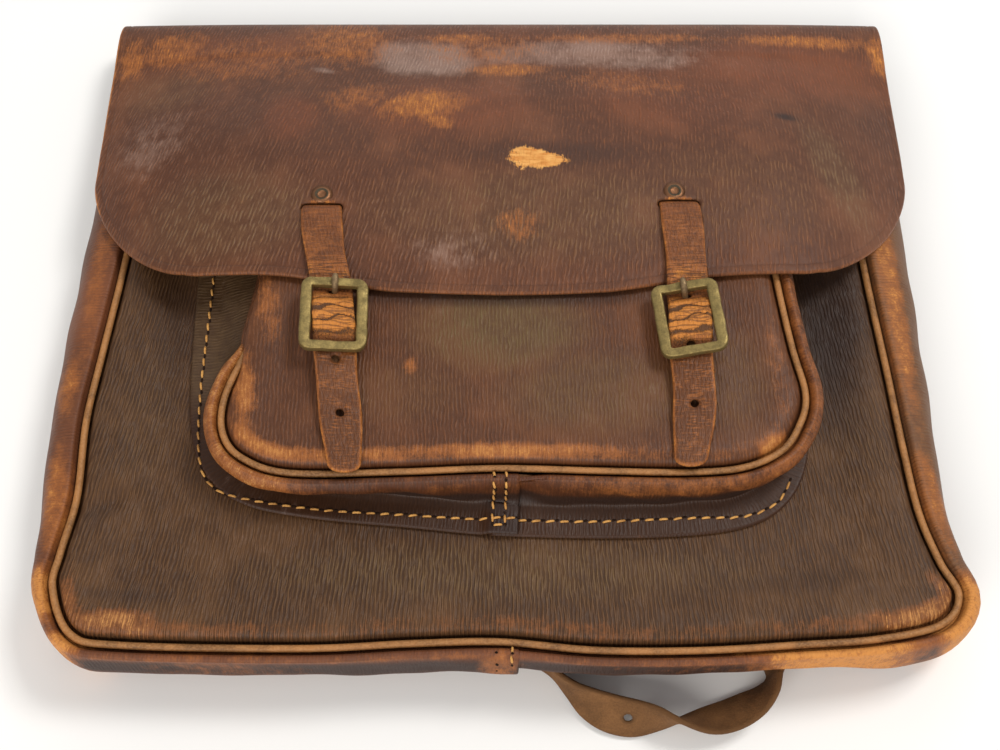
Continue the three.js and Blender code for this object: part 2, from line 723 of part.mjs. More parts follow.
// One half of the pocket's gusset, from the seam down to the front panel and out along it. The
// halves lap like the body's: the right one sinks behind the left, whose flange lies over the other.
function pocketGussetHalf(stations, behind, over) {
  const grid = stations.map((k) => {
    const top = pocketSeam.at(k);
    const foot = footLine.at(k);
    const seam = pocketSeamHeight(top.y);
    const onPanel = (p) => frontHeight(p.x, p.y) + (LEATHER + POCKET_LEATHER) / 2 + 2 * CLEARANCE;
    const point = (p, z) => new THREE.Vector3(p.x, p.y, z);
    const beneath = (out, drop) => point(beside(top, out), seam + drop);
    const rolled = [0, 1, 3].map((n) => ROLLED_EDGE[n]).map(({ in: out, up }) =>
      beneath(out * POCKET_SCALE, up * POCKET_SCALE));
    const crest = [beneath(4.8, 1.4), beneath(6.5, -2.5)];
    const root = point(beside(foot, 1.5), onPanel(beside(foot, 1.5)) + 2.2);
    const waist = crest[1].clone().lerp(root, 0.55);
    const flange = [5, FLANGE].map((out) => beside(foot, out));
    const shown = [
      beneath(SEAM_HALF + 2 * CLEARANCE, -POCKET_ALLOWANCE),
      ...rolled,
      ...crest,
    ];
    const short = shown.map((_, n) => crest[1].clone().lerp(waist, 0.55 + n / 14));
    return [
      ...shown.map((p, n) => p.clone().lerp(short[n], behind(k))),
      waist,
      root,
      ...flange.map((p, n) => point(p, onPanel(p) + (n === 0 ? 0.5 : 0))),
    ];
  });
  const lap = POCKET_LEATHER + 2 * CLEARANCE;
  return wall(grid, POCKET_LEATHER, (j, i) => {
    const low = i > 6 ? 1 : 0;
    return lap * (behind(stations[j]) * (1 - low) - over(stations[j]) * low);
  });
}

// Row numbers of the pocket's seam
const POCKET_LAP = { from: 8.75, to: 9.2, clear: 9.32, level: 9.7 };
const POCKET_STEPS = [0, 1.4, 2.6, 3.5, 4.2, 4.8, 5.4, 6, 6.5, 7, 7.5, 8.2];
const pocketBehind = (k) => 1 - smooth(POCKET_LAP.clear, POCKET_LAP.level, k);
const pocketOver = (k) => smooth(POCKET_LAP.from - 0.35, POCKET_LAP.from - 0.08, k);
const none = () => 0;
const pocketLeft = [...POCKET_STEPS, POCKET_LAP.from - 0.35, POCKET_LAP.from - 0.08, POCKET_LAP.to];
const pocketRight = [POCKET_LAP.from, POCKET_LAP.to, POCKET_LAP.clear, POCKET_LAP.level, 10.4];
pocketRight.push(...POCKET_STEPS.map((k) => pocketSeam.last - k).reverse());

// Fastenings
// A closing strap: riveted under the flap, out through its slot, through the buckle to the tip.
function closingStrap({ drift, buckle, slot, rivet, holes, end }) {
  const above = LEATHER / 2 + CLEARANCE + STRAP_LEATHER / 2;
  const flapAt = (y) => flapHeight(slot.x, y);
  const under = BUCKLE.height - BUCKLE.thick - CLEARANCE - STRAP_LEATHER / 2;
  const over = BAR.height + BAR.radius + CLEARANCE + TAB.leather + 0.6 + STRAP_LEATHER / 2;
  const half = BUCKLE.long / 2;
  const lying = pocketHeight(buckle.x, -60) + (POCKET_LEATHER + STRAP_LEATHER) / 2 + CLEARANCE;
  const rows = [
    { y: 46, z: flapAt(46) - above - 0.9 },
    { y: slot.y + 4.6, z: flapAt(slot.y + 4) - above - 0.9 },
    { y: slot.y + 2.2, z: flapAt(slot.y) - above * 0.9 },
    { y: slot.y, z: flapAt(slot.y) },
    { y: slot.y - 2.2, z: flapAt(slot.y) + above * 0.75 },
    { y: slot.y - 4.4, z: flapAt(slot.y - 4) + above },
    { y: 12, z: flapAt(12) + above },
    { y: -6, z: flapAt(-6) + above + 0.9 },
    { y: -10, z: flapAt(-10) + above + 1.1 },
    { y: buckle.y + half + 1, z: under },
    { y: buckle.y + half - 3, z: under + 0.2 },
    { y: buckle.y + 6, z: lerp(under, over, 0.68) },
    { y: buckle.y, z: over },
    { y: buckle.y - 6, z: lerp(under, over, 0.68) },
    { y: buckle.y - half + 3, z: under + 0.2 },
    { y: buckle.y - half - 2, z: under },
    { y: buckle.y - half - 11, z: Math.max(under - 0.6, lying) },
    { y: lerp(buckle.y - half, end, 0.56), z: lying + 1.2 },
    { y: end + 14, z: lying + 0.6 },
    { y: end, z: lying + 0.5 },
  ];
  const widthAt = (y) => lerp(STRAP_TIP_WIDTH, STRAP_WIDTH, smooth(-4, STRAP_TAPER, y - end));
  const rolled = (y) => {
    const held = smooth(buckle.y + half + 4, buckle.y + half - 0.5, y);
    return Math.tan(degToRad(buckle.roll)) * held * smooth(end, buckle.y - half - 8, y);
  };
  const grid = pointsOf((k) => between(rows, k), rows.length - 1, 28).map(({ y, z }) => {
    const x = alongY(drift, y).x;
    const offsets = [-0.5, 0, 0.5].map((s) => s * widthAt(y));
    return offsets.map((out) => new THREE.Vector3(x + out, y, z - rolled(y) * out));
  });
  const holeAt = (y, radius) => punch(alongY(drift, y).x, y, radius, 50, 85);
  return cut(
    wall(grid, STRAP_LEATHER),
    punch(rivet.x, rivet.y, SHANK_RADIUS + CLEARANCE, 50, 68),
    holeAt(buckle.y + half - 4.4, PRONG_HOLE_RADIUS),
    ...holes.map((y) => holeAt(y, HOLE_RADIUS)),
  );
}

// A tubular rivet: ring head, shank and the burr behind.
function rivet(grip) {
  const profile = [
    [0, 0.2], [1.7, 0.2], [2.4, 1], [RIVET_RADIUS, 0.4], [RIVET_RADIUS, 0],
    [SHANK_RADIUS, 0], [SHANK_RADIUS, -grip], [3, -grip], [3, -grip - 0.9], [0, -grip - 0.9],
  ].map(([r, z]) => new THREE.Vector2(r, z));
  return new THREE.LatheGeometry(profile.reverse(), 8).rotateX(Math.PI / 2);
}

function flapRivet({ rivet: place }) {
  const head = flapHeight(place.x, place.y) + LEATHER / 2 + CLEARANCE;
  const grip = LEATHER + STRAP_LEATHER + 6 * CLEARANCE;
  return rivet(grip).translate(place.x, place.y, head);
}

function shoulderRivet({ x, y }) {
  const burr = backHeight(x, y) + LEATHER / 2 + CLEARANCE;
  const grip = LEATHER + SHOULDER_LEATHER + 3.4 * CLEARANCE;
  return rivet(grip).rotateX(Math.PI).translate(x, y, burr - grip);
}

// A cast buckle frame with its middle bar, in the buckle's own axes about the bar.
function buckleFrame() {
  const { wide, long, corner, thick } = BUCKLE;
  const outline = new THREE.Shape();
  const [w, l] = [wide / 2, long / 2];
  outline.moveTo(w, l - corner).absarc(w - corner, l - corner, corner, 0, Math.PI / 2);
  outline.absarc(corner - w, l - corner, corner, Math.PI / 2, Math.PI);
  outline.absarc(corner - w, corner - l, corner, Math.PI, 1.5 * Math.PI);
  outline.absarc(w - corner, corner - l, corner, 1.5 * Math.PI, 2 * Math.PI);
  const points = outline.getPoints(3).slice(0, -1);
  const up = new THREE.Vector3(0, 0, 1);
  const stations = points.map((p, n) => {
    const ahead = points[(n + 1) % points.length];
    const behind = points.at(n - 1);
    const right = new THREE.Vector3(ahead.y - behind.y, behind.x - ahead.x, 0).normalize();
    return { point: new THREE.Vector3(p.x, p.y, BUCKLE.height - BAR.height), right, up };
  });
  const ring = loft(carried(stations, roundSection(thick, 6, 0.95)), true);
  const rise = BUCKLE.height - BAR.height;
  const bar = [[-w, rise], [-w + 2.6, 0], [w - 2.6, 0], [w, rise]].map(([x, z]) => ({
    point: new THREE.Vector3(x, 0, z),
    right: new THREE.Vector3(0, 1, 0),
    up: new THREE.Vector3(0, 0, 1),
  }));
  return join(ring, loft(carried(bar, roundSection(BAR.radius, 6))));
}

// The prong: an eye round the bar, under the strap, up through its hole and over the top bar.
function buckleProng() {
  const eye = new THREE.TorusGeometry(BAR.radius + 0.3 + PRONG_RADIUS * 0.8, PRONG_RADIUS * 0.8, 6, 10);
  eye.rotateY(Math.PI / 2);
  const [rise, far] = [BUCKLE.height - BAR.height, BUCKLE.long / 2];
  const rest = rise + BUCKLE.thick + PRONG_RADIUS + 0.2;
  const line = new THREE.CatmullRomCurve3([
    [2.6, -1.2],
    [5.5, -2.2],
    [8.6, -1.2],
    [10.1, 2.2],
    [11.6, rest - 1.6],
    [far, rest],
    [far + 3.6, rest - 0.9],
  ].map(([y, z]) => new THREE.Vector3(0, y, z)));
  const right = new THREE.Vector3(1, 0, 0);
  const stations = line.getPoints(8).map((point, n) => ({
    point,
    right,
    up: new THREE.Vector3().crossVectors(right, line.getTangent(n / 8)),
  }));
  return join(eye, loft(carried(stations, roundSection(PRONG_RADIUS, 6))));
}

// The leather tab that holds the bar: round it, and back along the pocket under the strap.
function buckleTab() {
  const inner = BAR.radius + CLEARANCE;
  const outer = inner + TAB.leather;
  const base = pocketHeight(0, -60) + POCKET_LEATHER / 2 + CLEARANCE + TAB.lift - BAR.height;
  const outline = new THREE.Shape();
  outline.absarc(0, 0, outer, 0.62 * Math.PI, -0.6 * Math.PI, true);
  outline.lineTo(-10, base).lineTo(-TAB.tail, base);
  outline.lineTo(-TAB.tail, base + 2 * TAB.leather).lineTo(-11, base + 2 * TAB.leather);
  outline.closePath();
  outline.holes.push(new THREE.Path().absarc(0, 0, inner, 0, 2 * Math.PI, false));
  const rule = { depth: TAB.width, bevelEnabled: false, curveSegments: 7 };
  const band = new THREE.ExtrudeGeometry(outline, rule);
  const upright = new THREE.Matrix4().makeBasis(
    new THREE.Vector3(0, 1, 0), new THREE.Vector3(0, 0, 1), new THREE.Vector3(1, 0, 0));
  band.translate(0, 0, -TAB.width / 2).applyMatrix4(upright);
  const room = PRONG_RADIUS + CLEARANCE + 0.2;
  return cut(band, chisel(0, 1, 2 * room, 13, -8, 8));
}

// The shoulder strap: flat under the bag, then standing on edge and turning over in its loop.
function shoulderStrap() {
  const line = (k) => {
    const row = between(SHOULDER, k);
    const ahead = between(SHOULDER, Math.min(k + 0.05, SHOULDER.length - 1));
    const behind = between(SHOULDER, Math.max(k - 0.05, 0));
    const left = new THREE.Vector3(behind.y - ahead.y, ahead.x - behind.x, 0).normalize();
    const lean = degToRad(row.lean);
    const width = left.multiplyScalar(Math.cos(lean)).setZ(Math.sin(lean));
    const flat = Math.abs(Math.cos(lean));
    const raised = 1.4 * smooth(95, 118, row.y);
    const half = (SHOULDER_WIDTH * Math.sin(lean) + SHOULDER_LEATHER * flat) / 2;
    return { point: new THREE.Vector3(row.x, row.y, half + 0.1 + raised), right: width };
  };
  const count = 53;
  const stations = Array.from({ length: count + 1 }, (_, n) => line(((SHOULDER.length - 1) * n) / count));
  stations.forEach((station, n) => {
    const ahead = stations[Math.min(n + 1, count)].point;
    const behind = stations[Math.max(n - 1, 0)].point;
    station.up = new THREE.Vector3().subVectors(ahead, behind).normalize().cross(station.right);
  });
  const [w, t] = [SHOULDER_WIDTH / 2, SHOULDER_LEATHER / 2];
  const band = loft(carried(stations, [[-w, -t], [w, -t], [w, t], [-w, t]]));
  const holes = Object.values(SHOULDER_RIVETS).map(({ x, y }) =>
    punch(x, y, SHANK_RADIUS + CLEARANCE, -2, 6));
  const { x, y, radius } = SHOULDER_HOLE;
  return cut(band, ...holes, punch(x, y, radius, -2, 20));
}

// The assembly
const satchel = new THREE.Group();

function add(name, geometry, material, parent = satchel) {
  const mesh = new THREE.Mesh(geometry, material.clone());
  mesh.name = name;
  parent.add(mesh);
}

add("back_and_flap", backAndFlap(), FLAP_BROWN);
add("front_panel", frontPanel(), PANEL_BROWN);
add("gusset_left", gussetHalf(leftStations, none), GUSSET_BROWN);
add("gusset_right", gussetHalf(rightStations, lapped), GUSSET_BROWN);
const bodyPipingStations = pointsOf((k) => k, bodySeam.last, 38);
add("body_piping", piping(bodySeam, bodyPipingStations, frontSeam, PIPING_RADIUS), PIPING_TAN);

add("pocket_panel", pocketPanel(), PANEL_BROWN);
add("pocket_gusset_left", pocketGussetHalf(pocketLeft, none, pocketOver), GUSSET_BROWN);
add("pocket_gusset_right", pocketGussetHalf(pocketRight, pocketBehind, none), GUSSET_BROWN);
const pocketPipingStations = pointsOf((k) => k, pocketSeam.last, 30);
add(
  "pocket_piping",
  piping(pocketSeam, pocketPipingStations, pocketSeamHeight, POCKET_PIPING_RADIUS),
  PIPING_TAN,
);

for (const [side, closing] of Object.entries(CLOSING)) {
  add(`closing_strap_${side}`, closingStrap(closing), STRAP_BROWN);
  add(`flap_rivet_${side}`, flapRivet(closing), BRASS);
  const buckle = new THREE.Group();
  buckle.position.set(closing.buckle.x, closing.buckle.y, BAR.height);
  const { roll, turn } = closing.buckle;
  buckle.rotation.set(0, degToRad(roll), degToRad(turn), "ZYX");
  satchel.add(buckle);
  add(`buckle_frame_${side}`, buckleFrame(), BRASS, buckle);
  add(`buckle_prong_${side}`, buckleProng(), BRASS, buckle);
  add(`buckle_tab_${side}`, buckleTab(), STRAP_BROWN, buckle);
}

add("shoulder_strap", shoulderStrap(), SUEDE_BROWN);
for (const [side, place] of Object.entries(SHOULDER_RIVETS)) {
  add(`shoulder_rivet_${side}`, shoulderRivet(place), BRASS);
}

export default satchel;
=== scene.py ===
"""A worn leather school satchel that lies fastened on its back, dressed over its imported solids.

Shapes are worked out in millimetres of the bag's own frame: +Z is up from the table, +Y runs from the
bottom gusset to the fold of the flap. They are scaled to metres when a mesh is made.
"""

import math

import bpy
import numpy as np
from bpy.props import FloatProperty, FloatVectorProperty, IntProperty, PointerProperty
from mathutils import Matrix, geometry


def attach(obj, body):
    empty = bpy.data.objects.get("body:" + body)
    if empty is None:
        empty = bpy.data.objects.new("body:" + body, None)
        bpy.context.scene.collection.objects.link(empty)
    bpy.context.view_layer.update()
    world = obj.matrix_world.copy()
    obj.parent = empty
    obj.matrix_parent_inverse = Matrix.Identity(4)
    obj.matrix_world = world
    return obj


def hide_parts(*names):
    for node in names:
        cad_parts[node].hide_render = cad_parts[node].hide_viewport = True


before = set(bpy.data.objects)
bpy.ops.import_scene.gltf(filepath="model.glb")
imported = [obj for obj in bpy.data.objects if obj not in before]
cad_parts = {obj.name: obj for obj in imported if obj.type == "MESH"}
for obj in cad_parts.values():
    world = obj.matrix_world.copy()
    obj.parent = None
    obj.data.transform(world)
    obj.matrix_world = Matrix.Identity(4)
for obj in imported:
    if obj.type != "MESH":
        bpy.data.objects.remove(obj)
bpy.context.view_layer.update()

bl_info = {
    "name": "School satchel",
    "version": (1, 0, 0),
    "blender": (4, 5, 0),
    "location": "3D View > Sidebar > Satchel",
    "description": "Builds a worn leather school satchel and its stage",
    "category": "Object",
}

MM = 0.001
BODY = "root"

# Leather and clearances
LEATHER = 2.4
POCKET_LEATHER = 2.0
STRAP_LEATHER = 2.6
SHOULDER_LEATHER = 2.4
CLEARANCE = 0.35

# Seams
PIPING_RADIUS = 1.5
POCKET_PIPING_RADIUS = 1.4
SEAM_HALF = 1.6
ALLOWANCE = 7.5
POCKET_ALLOWANCE = 5
POCKET_SCALE = 0.86

# Body. A span is where a height starts and ends to change: in y, in x or in from an edge
FRONT_HEIGHT = 38
BOTTOM_DROP = 1
BOTTOM_SPAN = (-100, -155)
MOUTH_DROP = 9.5
MOUTH_SPAN = (15, 128)
PANEL_HEIGHT = 38.6
PANEL_RIM = (8, 34)
TUCK = 16
TUCK_SPAN = (-112, -155)
TUCK_SIDES = (128, 172)
TUCK_LOST = 0.62  # the share of the tuck that is lost at the sides
ARCH = 12
ARCH_RISE = (-45, 6)
ARCH_FALL = (126, 165)
ARCH_SPAN = (-95, -145)
DOME = 4.4
DOME_RIM = (5, 42)
BOTTOM_ROW = 12.5  # of the seam's table, at the middle of the bottom

# Flap and the fold over the top
FLAP_HALF = 189
FOLD_HALF = 191
CORNER = {"wide": 52, "tall": 62, "round": 1.3}
FLAP_SIDE = 36
SIDE_DROP = 7
SIDE_SPAN = (70, 150)
PLATEAU = {"left": 91, "right": 106}
FLAP_TOP = 134  # the fold takes over from the flap here
BACK_TOP = 140  # and the back takes over from the fold here
CREASE_INSET = 4.1  # the line pressed along the flap's edge
FLAP_FAN = 0.001  # how fast the grain draws together towards the top
FRONT_FAN = 0.0011
TORN = {"x": 17, "y": 55, "wide": 13, "tall": 5.6, "lean": 0.10, "narrows": 0.028}

# Pocket
POCKET_SEAM = 59.5
POCKET_MOUTH_DROP = 6
POCKET_MOUTH_SPAN = (-5, 49)
POCKET_FILL = 2.6
POCKET_RIM = (8, 26)
POCKET_LIFT = POCKET_LEATHER + 2 * CLEARANCE  # of the flange's upper half over the lower one
FLANGE = 16
COVER_REACH = 5.0  # how far the pocket's front folds over its piping, high on the left
COVER_SPAN = (-54, -28)

# Rows of a seam's table where the right half of its gusset starts, where the left half over it ends,
# and where the right half is level again
BODY_LAP = {"start": 12.08, "end": 12.22, "level": 12.8}
POCKET_LAP = {"start": 8.92, "end": 9.2, "level": 9.55}

# Thread: places across the laps, how many stitches a side of the pocket's lap has, and the rows of the
# body's gusset that have stitch holes and those that still hold thread
POCKET_LAP_THREADS = (-2.6, 2.6)
BODY_LAP_THREADS = (-1.4, 5.0)
LAP_STITCHES = 6
HOLED_ROWS = slice(21, 37)
THREADED_ROWS = slice(21, 29)
UNEVENNESS = 0.09

# Closing straps and buckles
STRAP_WIDTH = 17.4
STRAP_TIP_WIDTH = 12.5
STRAP_TAPER = 25
STRAP_CORNER = 3
FOLD_PITCH = 5.0  # between the strap's folds over the bar
HOLE_RADIUS = 1.7
PRONG_HOLE_RADIUS = 1.4
SLOT = {"wide": 18.2, "long": 4.0, "corner": 1.6}
STRAP_LIES = -60.0  # where the straps lie on the pocket
RIVET_RADIUS = 4.8
SHANK_RADIUS = 1.5
BURR_RADIUS = 3.0
BUCKLE = {"wide": 23.4, "long": 30, "corner": 2.6, "thick": 2.2, "height": 72.6}
BUCKLE_STRIP = {"half": 2.4, "squash": 0.86, "square": 0.4, "slim": 0.82}
BAR = {"radius": 1.6, "height": 68.6}
TAB = {"width": 14, "leather": 1.3, "tail": 24, "lift": 1}
PRONG_RADIUS = 1.3

# Shoulder strap
SHOULDER_WIDTH = 18.4
SHOULDER_HOLE = {"x": 52.2, "y": -181, "radius": 1.8}

# How fine the meshes are
SEAM_STEP = 2.2
FIELD_STEP = 2.3
BACK_STEP = 7.0
STRAP_STEP = 1.4
SHOULDER_STEP = 2.2
GUSSET_ROWS = 73
ROW_SHARE = 0.866  # from row to row of an even field, in parts of its step
COLLAR = 0.45  # from a hole's edge to the points about it
HEADING_STEP = 0.05  # rows to either side of a place, to read a line's direction there
EDGE_INSETS = (0, 0.18, 0.5, 0.95, 1.6)
FLAP_INSETS = EDGE_INSETS + (3.2, CREASE_INSET - 0.4, CREASE_INSET, CREASE_INSET + 0.4, 5.4)
UNCUT = 99.0  # stands for the distance to a cut edge where there is none
FAR = 999  # past every place on the bag

# Stage, in metres but for the camera's sensor and the floor, which are in millimetres
CAMERA_PLACE = (0, -0.310, 0.5776)
SENSOR_WIDTH = 36
FLOOR_HALF = 4000
WARM = (1.0, 0.985, 0.96)
LIGHTS = {
    "key": {"place": (1.4, 0.7, 2.6), "size": (0.8, 0.8), "colour": WARM},
    "fill": {"place": (-0.8, -2.6, 1.8), "size": (2.6, 1.8), "colour": (1.0, 0.975, 0.935)},
    "back": {"place": (0.2, 2.7, 1.9), "size": (2.8, 1.2), "colour": WARM},
}
SKY_COLOUR = (0.97, 0.98, 1.0, 1.0)


def table(columns, *rows):
    """Rows of numbers under named columns."""
    return {name: np.array(column, float) for name, column in zip(columns.split(), zip(*rows))}


def patches(*rows):
    """Soft patches: place, reach along and across a turned axis, and how deep or strong each is."""
    return table("x y wide tall turn amount", *rows)


# The body's seam line from the mouth on the left, round the bottom, to the mouth on the right, with
# how far the gusset stands out beyond it
BODY_SEAM = table(
    "x y bulge",
    (-163.5, 128, 24), (-166, 75, 24.5), (-169.5, 18, 23), (-173.7, -28, 20.6), (-176.6, -62, 18.2),
    (-175.8, -97, 18), (-179.4, -121, 13), (-180.6, -136, 9.6), (-171, -154.8, 6.6), (-150, -159.4, 5),
    (-79, -160.7, 4.6), (-35, -158.7, 6.2), (0, -158, 7.2), (38, -161.4, 5), (79, -161.5, 5),
    (119, -159.2, 5), (150, -156.9, 6), (176, -151, 7.5), (184.8, -139, 10.4), (179, -125, 12.5),
    (173.2, -104, 14.5), (170.4, -75, 17.2), (168.2, -40, 20), (164.3, 14, 23.6), (162, 75, 26),
    (159.5, 128, 26),
)
# The pocket's seam line in the same order, with the line where its gusset meets the front panel
POCKET_LINE = table(
    "x y foot_x foot_y",
    (-97, 49, -119, 49), (-99, 20, -119, 20), (-102, -10, -118.5, -10), (-107, -38, -117.5, -38),
    (-114, -62, -115.5, -62), (-113, -78, -111, -77), (-104, -88.6, -100.5, -86),
    (-84, -95, -82, -90.5), (-40, -94.4, -40, -95), (0, -92.9, 0, -98.8), (40, -94, 40, -99.8),
    (75, -94.6, 75, -99), (98, -92.6, 97, -95.5), (114, -85.4, 108, -88.5), (122.5, -74, 113.5, -76),
    (126.5, -60, 115, -60), (123, -38, 115, -38), (119.8, -10, 115, -10), (117.5, 20, 115, 20),
    (116, 49, 115, 49),
)
FOOT_LINE = {"x": POCKET_LINE["foot_x"], "y": POCKET_LINE["foot_y"]}
# Section of a panel from its seam inwards: distance in and height over the seam
ROLLED_EDGE = table(
    "inset up",
    (1.6, -3.6), (3.1, -2.5), (3.95, -0.8), (4.15, 1.0), (5.1, 2.5), (7, 3.5), (10.5, 3.8),
)
# The same for the back, which has no piping
PLAIN_EDGE = table("inset up", (1.6, 2.6), (2.5, 0.7), (4.5, 0))
# Height of the flap along its middle
FLAP_RIDGE = table(
    "y z",
    (-30, 65.5), (-16, 66), (14, 66.6), (44, 65.6), (70, 61.6), (95, 54), (118, 45), (140, 38),
)
# The flap's lower edge, out from its middle
FLAP_EDGE = table(
    "x y",
    (0, -16), (47, -14.3), (66, -11.4), (85, -7.8), (103, -6), (120, -5), (137, -2.6), (192, 9),
)
# The fold from the top of the flap to the top of the back
FOLD = table(
    "y z side half",
    (118, 45, 31.5, 190.4), (134, 39.8, 29.7, 190.9), (152, 33.4, 29.6, 191), (162, 28, 26.4, 191),
    (166.4, 21, 20, 191), (166.2, 13, 12.4, 190.5), (161, 6.4, 6, 188), (152, 3.6, 3.2, 181),
    (140, 5.2, 3.4, 166), (128, 5.6, 3.2, 163),
)
# The closing straps from the riveted end under the flap to the tip, and their buckles
CLOSING = {
    "left": {
        "rivet": (-78.3, 34.2),
        "slot": (-78, 27.8),
        "buckle": {"x": -69.6, "y": -28.8, "turn": 1, "roll": 7},
        "drift": table(
            "y x",
            (46, -78.6), (28, -78), (8, -75.8), (-10, -72), (-29, -69.2), (-48, -67.8), (-68, -65.3),
            (-98, -62),
        ),
        "holes": (-47.7, -71.2),
        "end": -97.4,
    },
    "right": {
        "rivet": (76.7, 35.8),
        "slot": (78.3, 29.4),
        "buckle": {"x": 79.3, "y": -30.6, "turn": 6, "roll": -9},
        "drift": table(
            "y x",
            (46, 77.6), (28, 78.4), (8, 79.2), (-10, 79.4), (-31, 78.8), (-48, 79), (-68, 79.2),
            (-98, 76),
        ),
        "holes": (-41.4, -67.2),
        "end": -94.8,
    },
}
# The shoulder strap from one riveted end on the back to the other: place, and lean from lying flat
SHOULDER = table(
    "x y lean",
    (-52, 128, 0), (-49, 90, 0), (-44, 45, 0), (-36, -5, 0), (-25, -55, 0), (-11, -100, 0),
    (-2, -122, 3), (5, -136, 10), (10, -145, 24), (15.5, -153.5, 60), (21.5, -162, 92),
    (29, -169.9, 84), (36.3, -175.5, 62), (44.5, -179.2, 47), (53.8, -181.4, 48), (63, -182.2, 70),
    (73, -183, 103), (84.5, -182.4, 135), (94.5, -179.9, 143), (103.5, -175.5, 135), (110, -170, 114),
    (113.6, -163.2, 99), (115, -154, 140), (115, -145, 160), (113.5, -135, 171), (110.5, -121, 177),
    (104, -98, 180), (92, -55, 180), (80, -5, 180), (68, 45, 180), (58, 90, 180), (52, 128, 180),
)
SHOULDER_RIVETS = {"left": (-51.6, 122), "right": (52.8, 122)}
# The thread line on the pocket's flange
FLANGE_THREAD = table(
    "x y",
    (-128.4, 34), (-127.9, 3), (-128.2, -26), (-128.2, -54), (-126.4, -78), (-121.6, -91), (-110, -98),
    (-82, -103), (-40, -106.2), (0, -108.4), (40, -109), (82, -107.6), (97, -107.2),
    (106, -105.2), (113, -101.6), (117, -97.5), (119.5, -93),
)

# Dents and swells
FRONT_DENTS = patches(
    (-163, -101, 16, 9, 25, -2.4),
    (-158, -88, 14, 10, 20, 0.9),
    (-143, 5, 13, 90, 2, -1.5),
    (146, -10, 16, 95, -2, -1.4),
    (-20, -130, 130, 22, 0, 0.8),
    (120, -125, 40, 26, 20, -0.7),
    (-90, -126, 46, 16, -6, -0.6),
)
FLAP_DENTS = patches(
    (-140, 40, 34, 50, 20, -1.4),
    (150, 45, 30, 60, -15, -1.2),
    (0, 75, 110, 26, 0, -0.8),
    (-78, 12, 22, 24, 0, 0.7),
    (78, 14, 22, 24, 0, 0.7),
    (0, 5, 44, 30, 0, -0.9),
    (-100, 120, 60, 22, 8, 0.8),
    (90, 120, 70, 22, -6, 0.7),
)
POCKET_DENTS = patches(
    (0, -40, 60, 45, 0, 1.0),
    (-92, -40, 18, 46, -8, -0.8),
    (108, -50, 16, 46, 6, -0.7),
    (30, -78, 60, 16, 0, -0.7),
)

# Where the surface is worn or stained, and where shade, shadow and sheen are painted on
FLAP_WORN = patches(
    (-182, 136, 12, 26, 0, 0.5),
    (-160, 142, 26, 24, 0, 0.5),
    (-76, 145, 40, 36, 0, 0.5),
    (-125, 130, 60, 30, 0, 0.38),
    (-10, 140, 50, 24, 0, 0.4),
    (-36, 92, 34, 18, 10, 0.66),
    (-28, 79, 12, 9, 0, 0.55),
    (-66, 98, 30, 18, 20, 0.42),
    (150, 147, 60, 9, 0, 0.6),
    (187, 140, 8, 22, 0, 0.7),
    (60, 148, 80, 8, 0, 0.5),
    (4, 121, 32, 9, 0, 0.62),
    (-20, 148, 34, 8, 0, 0.55),
    (60, 108, 60, 16, -10, 0.36),
    (8, 19, 16, 14, 0, 0.42),
    (-78, 30, 9, 1.8, 0, 0.7),
    (77.9, 31.6, 9, 1.8, 0, 0.7),
)
FLAP_RED = patches(
    (-96, 82, 24, 28, 0, 0.75),
    (140, 125, 90, 46, 0, 0.8),
    (-30, 92, 80, 40, 0, 0.7),
    (-130, 135, 80, 30, 0, 0.6),
    (80, 100, 80, 50, 0, 0.6),
    (0, 140, 190, 30, 0, 0.5),
)
# Grey-lilac places of the flap: painted sheen where its top would reflect the light behind it and a painted
# highlight low in the middle, with pale scuffs on the left and a pale scratch
FLAP_SHEEN_AND_SCUFFS = patches(
    (-38, 131, 44, 26, -8, 1.0),
    (40, 136, 90, 20, 0, 0.75),
    (70, 128, 40, 14, 0, 0.7),
    (-158, 77, 34, 34, 30, 0.5),
    (-19, 6, 40, 16, 4, 0.42),
    (-84, 119, 12, 4, -16, 0.8),
)
FLAP_OLIVE = patches(
    (152, 52, 20, 54, 20, 0.7),
    (100, 35, 100, 50, 0, 0.45),
    (-120, 25, 70, 44, 0, 0.65),
    (20, 25, 140, 44, 0, 0.6),
    (-160, 110, 40, 30, 0, 0.5),
)
FLAP_DARK = patches(
    (24, 58, 66, 13, 0, 0.55),
    (132, 84, 9, 4, -10, 0.9),
    (-120, 60, 60, 50, 0, 0.3),
    (170, 90, 26, 60, 0, 0.3),
)
FRONT_WORN = patches(
    (-172, -146, 10, 11, 0, 0.48),
    (-154, -150, 28, 7, 0, 0.68),
    (166, -148, 26, 7, 14, 0.66),
)
# How worn the front's rolled edge is along the bottom, by its place across
FRONT_CREST = table(
    "x strength",
    (-185, 0.5), (-150, 0.6), (-120, 0.42), (-70, 0.24), (-20, 0.32), (35, 0.36), (70, 0.3), (105, 0.26),
    (140, 0.42), (175, 0.72), (190, 0.6),
)
# Darker places: painted shade in the valleys between the pocket and the piping and in the dent low on the
# left, with darker patches lower down
FRONT_STAIN_AND_SHADE = patches(
    (-152, -140, 34, 5, -3, 0.5),
    (120, -134, 50, 8, 6, 0.4),
    (-165, -104, 16, 8, 25, 0.4),
    (-140, 10, 22, 110, 0, 0.5),
    (146, 0, 26, 110, 0, 0.9),
    (0, -112, 120, 7, 0, 0.5),
)
FRONT_OLIVE = patches(
    (0, -130, 170, 22, 0, 0.6),
    (-150, -60, 24, 60, 0, 0.3),
    (150, -70, 24, 50, 0, 0.3),
)
POCKET_WORN = patches(
    (-106, -56, 8, 30, 8, 0.62),
    (-98, -20, 9, 30, 10, 0.42),
    (110, -83, 12, 6, 38, 0.72),
    (115, -50, 6, 40, 4, 0.3),
    (-37, -48, 5, 6, 0, 0.6),
)
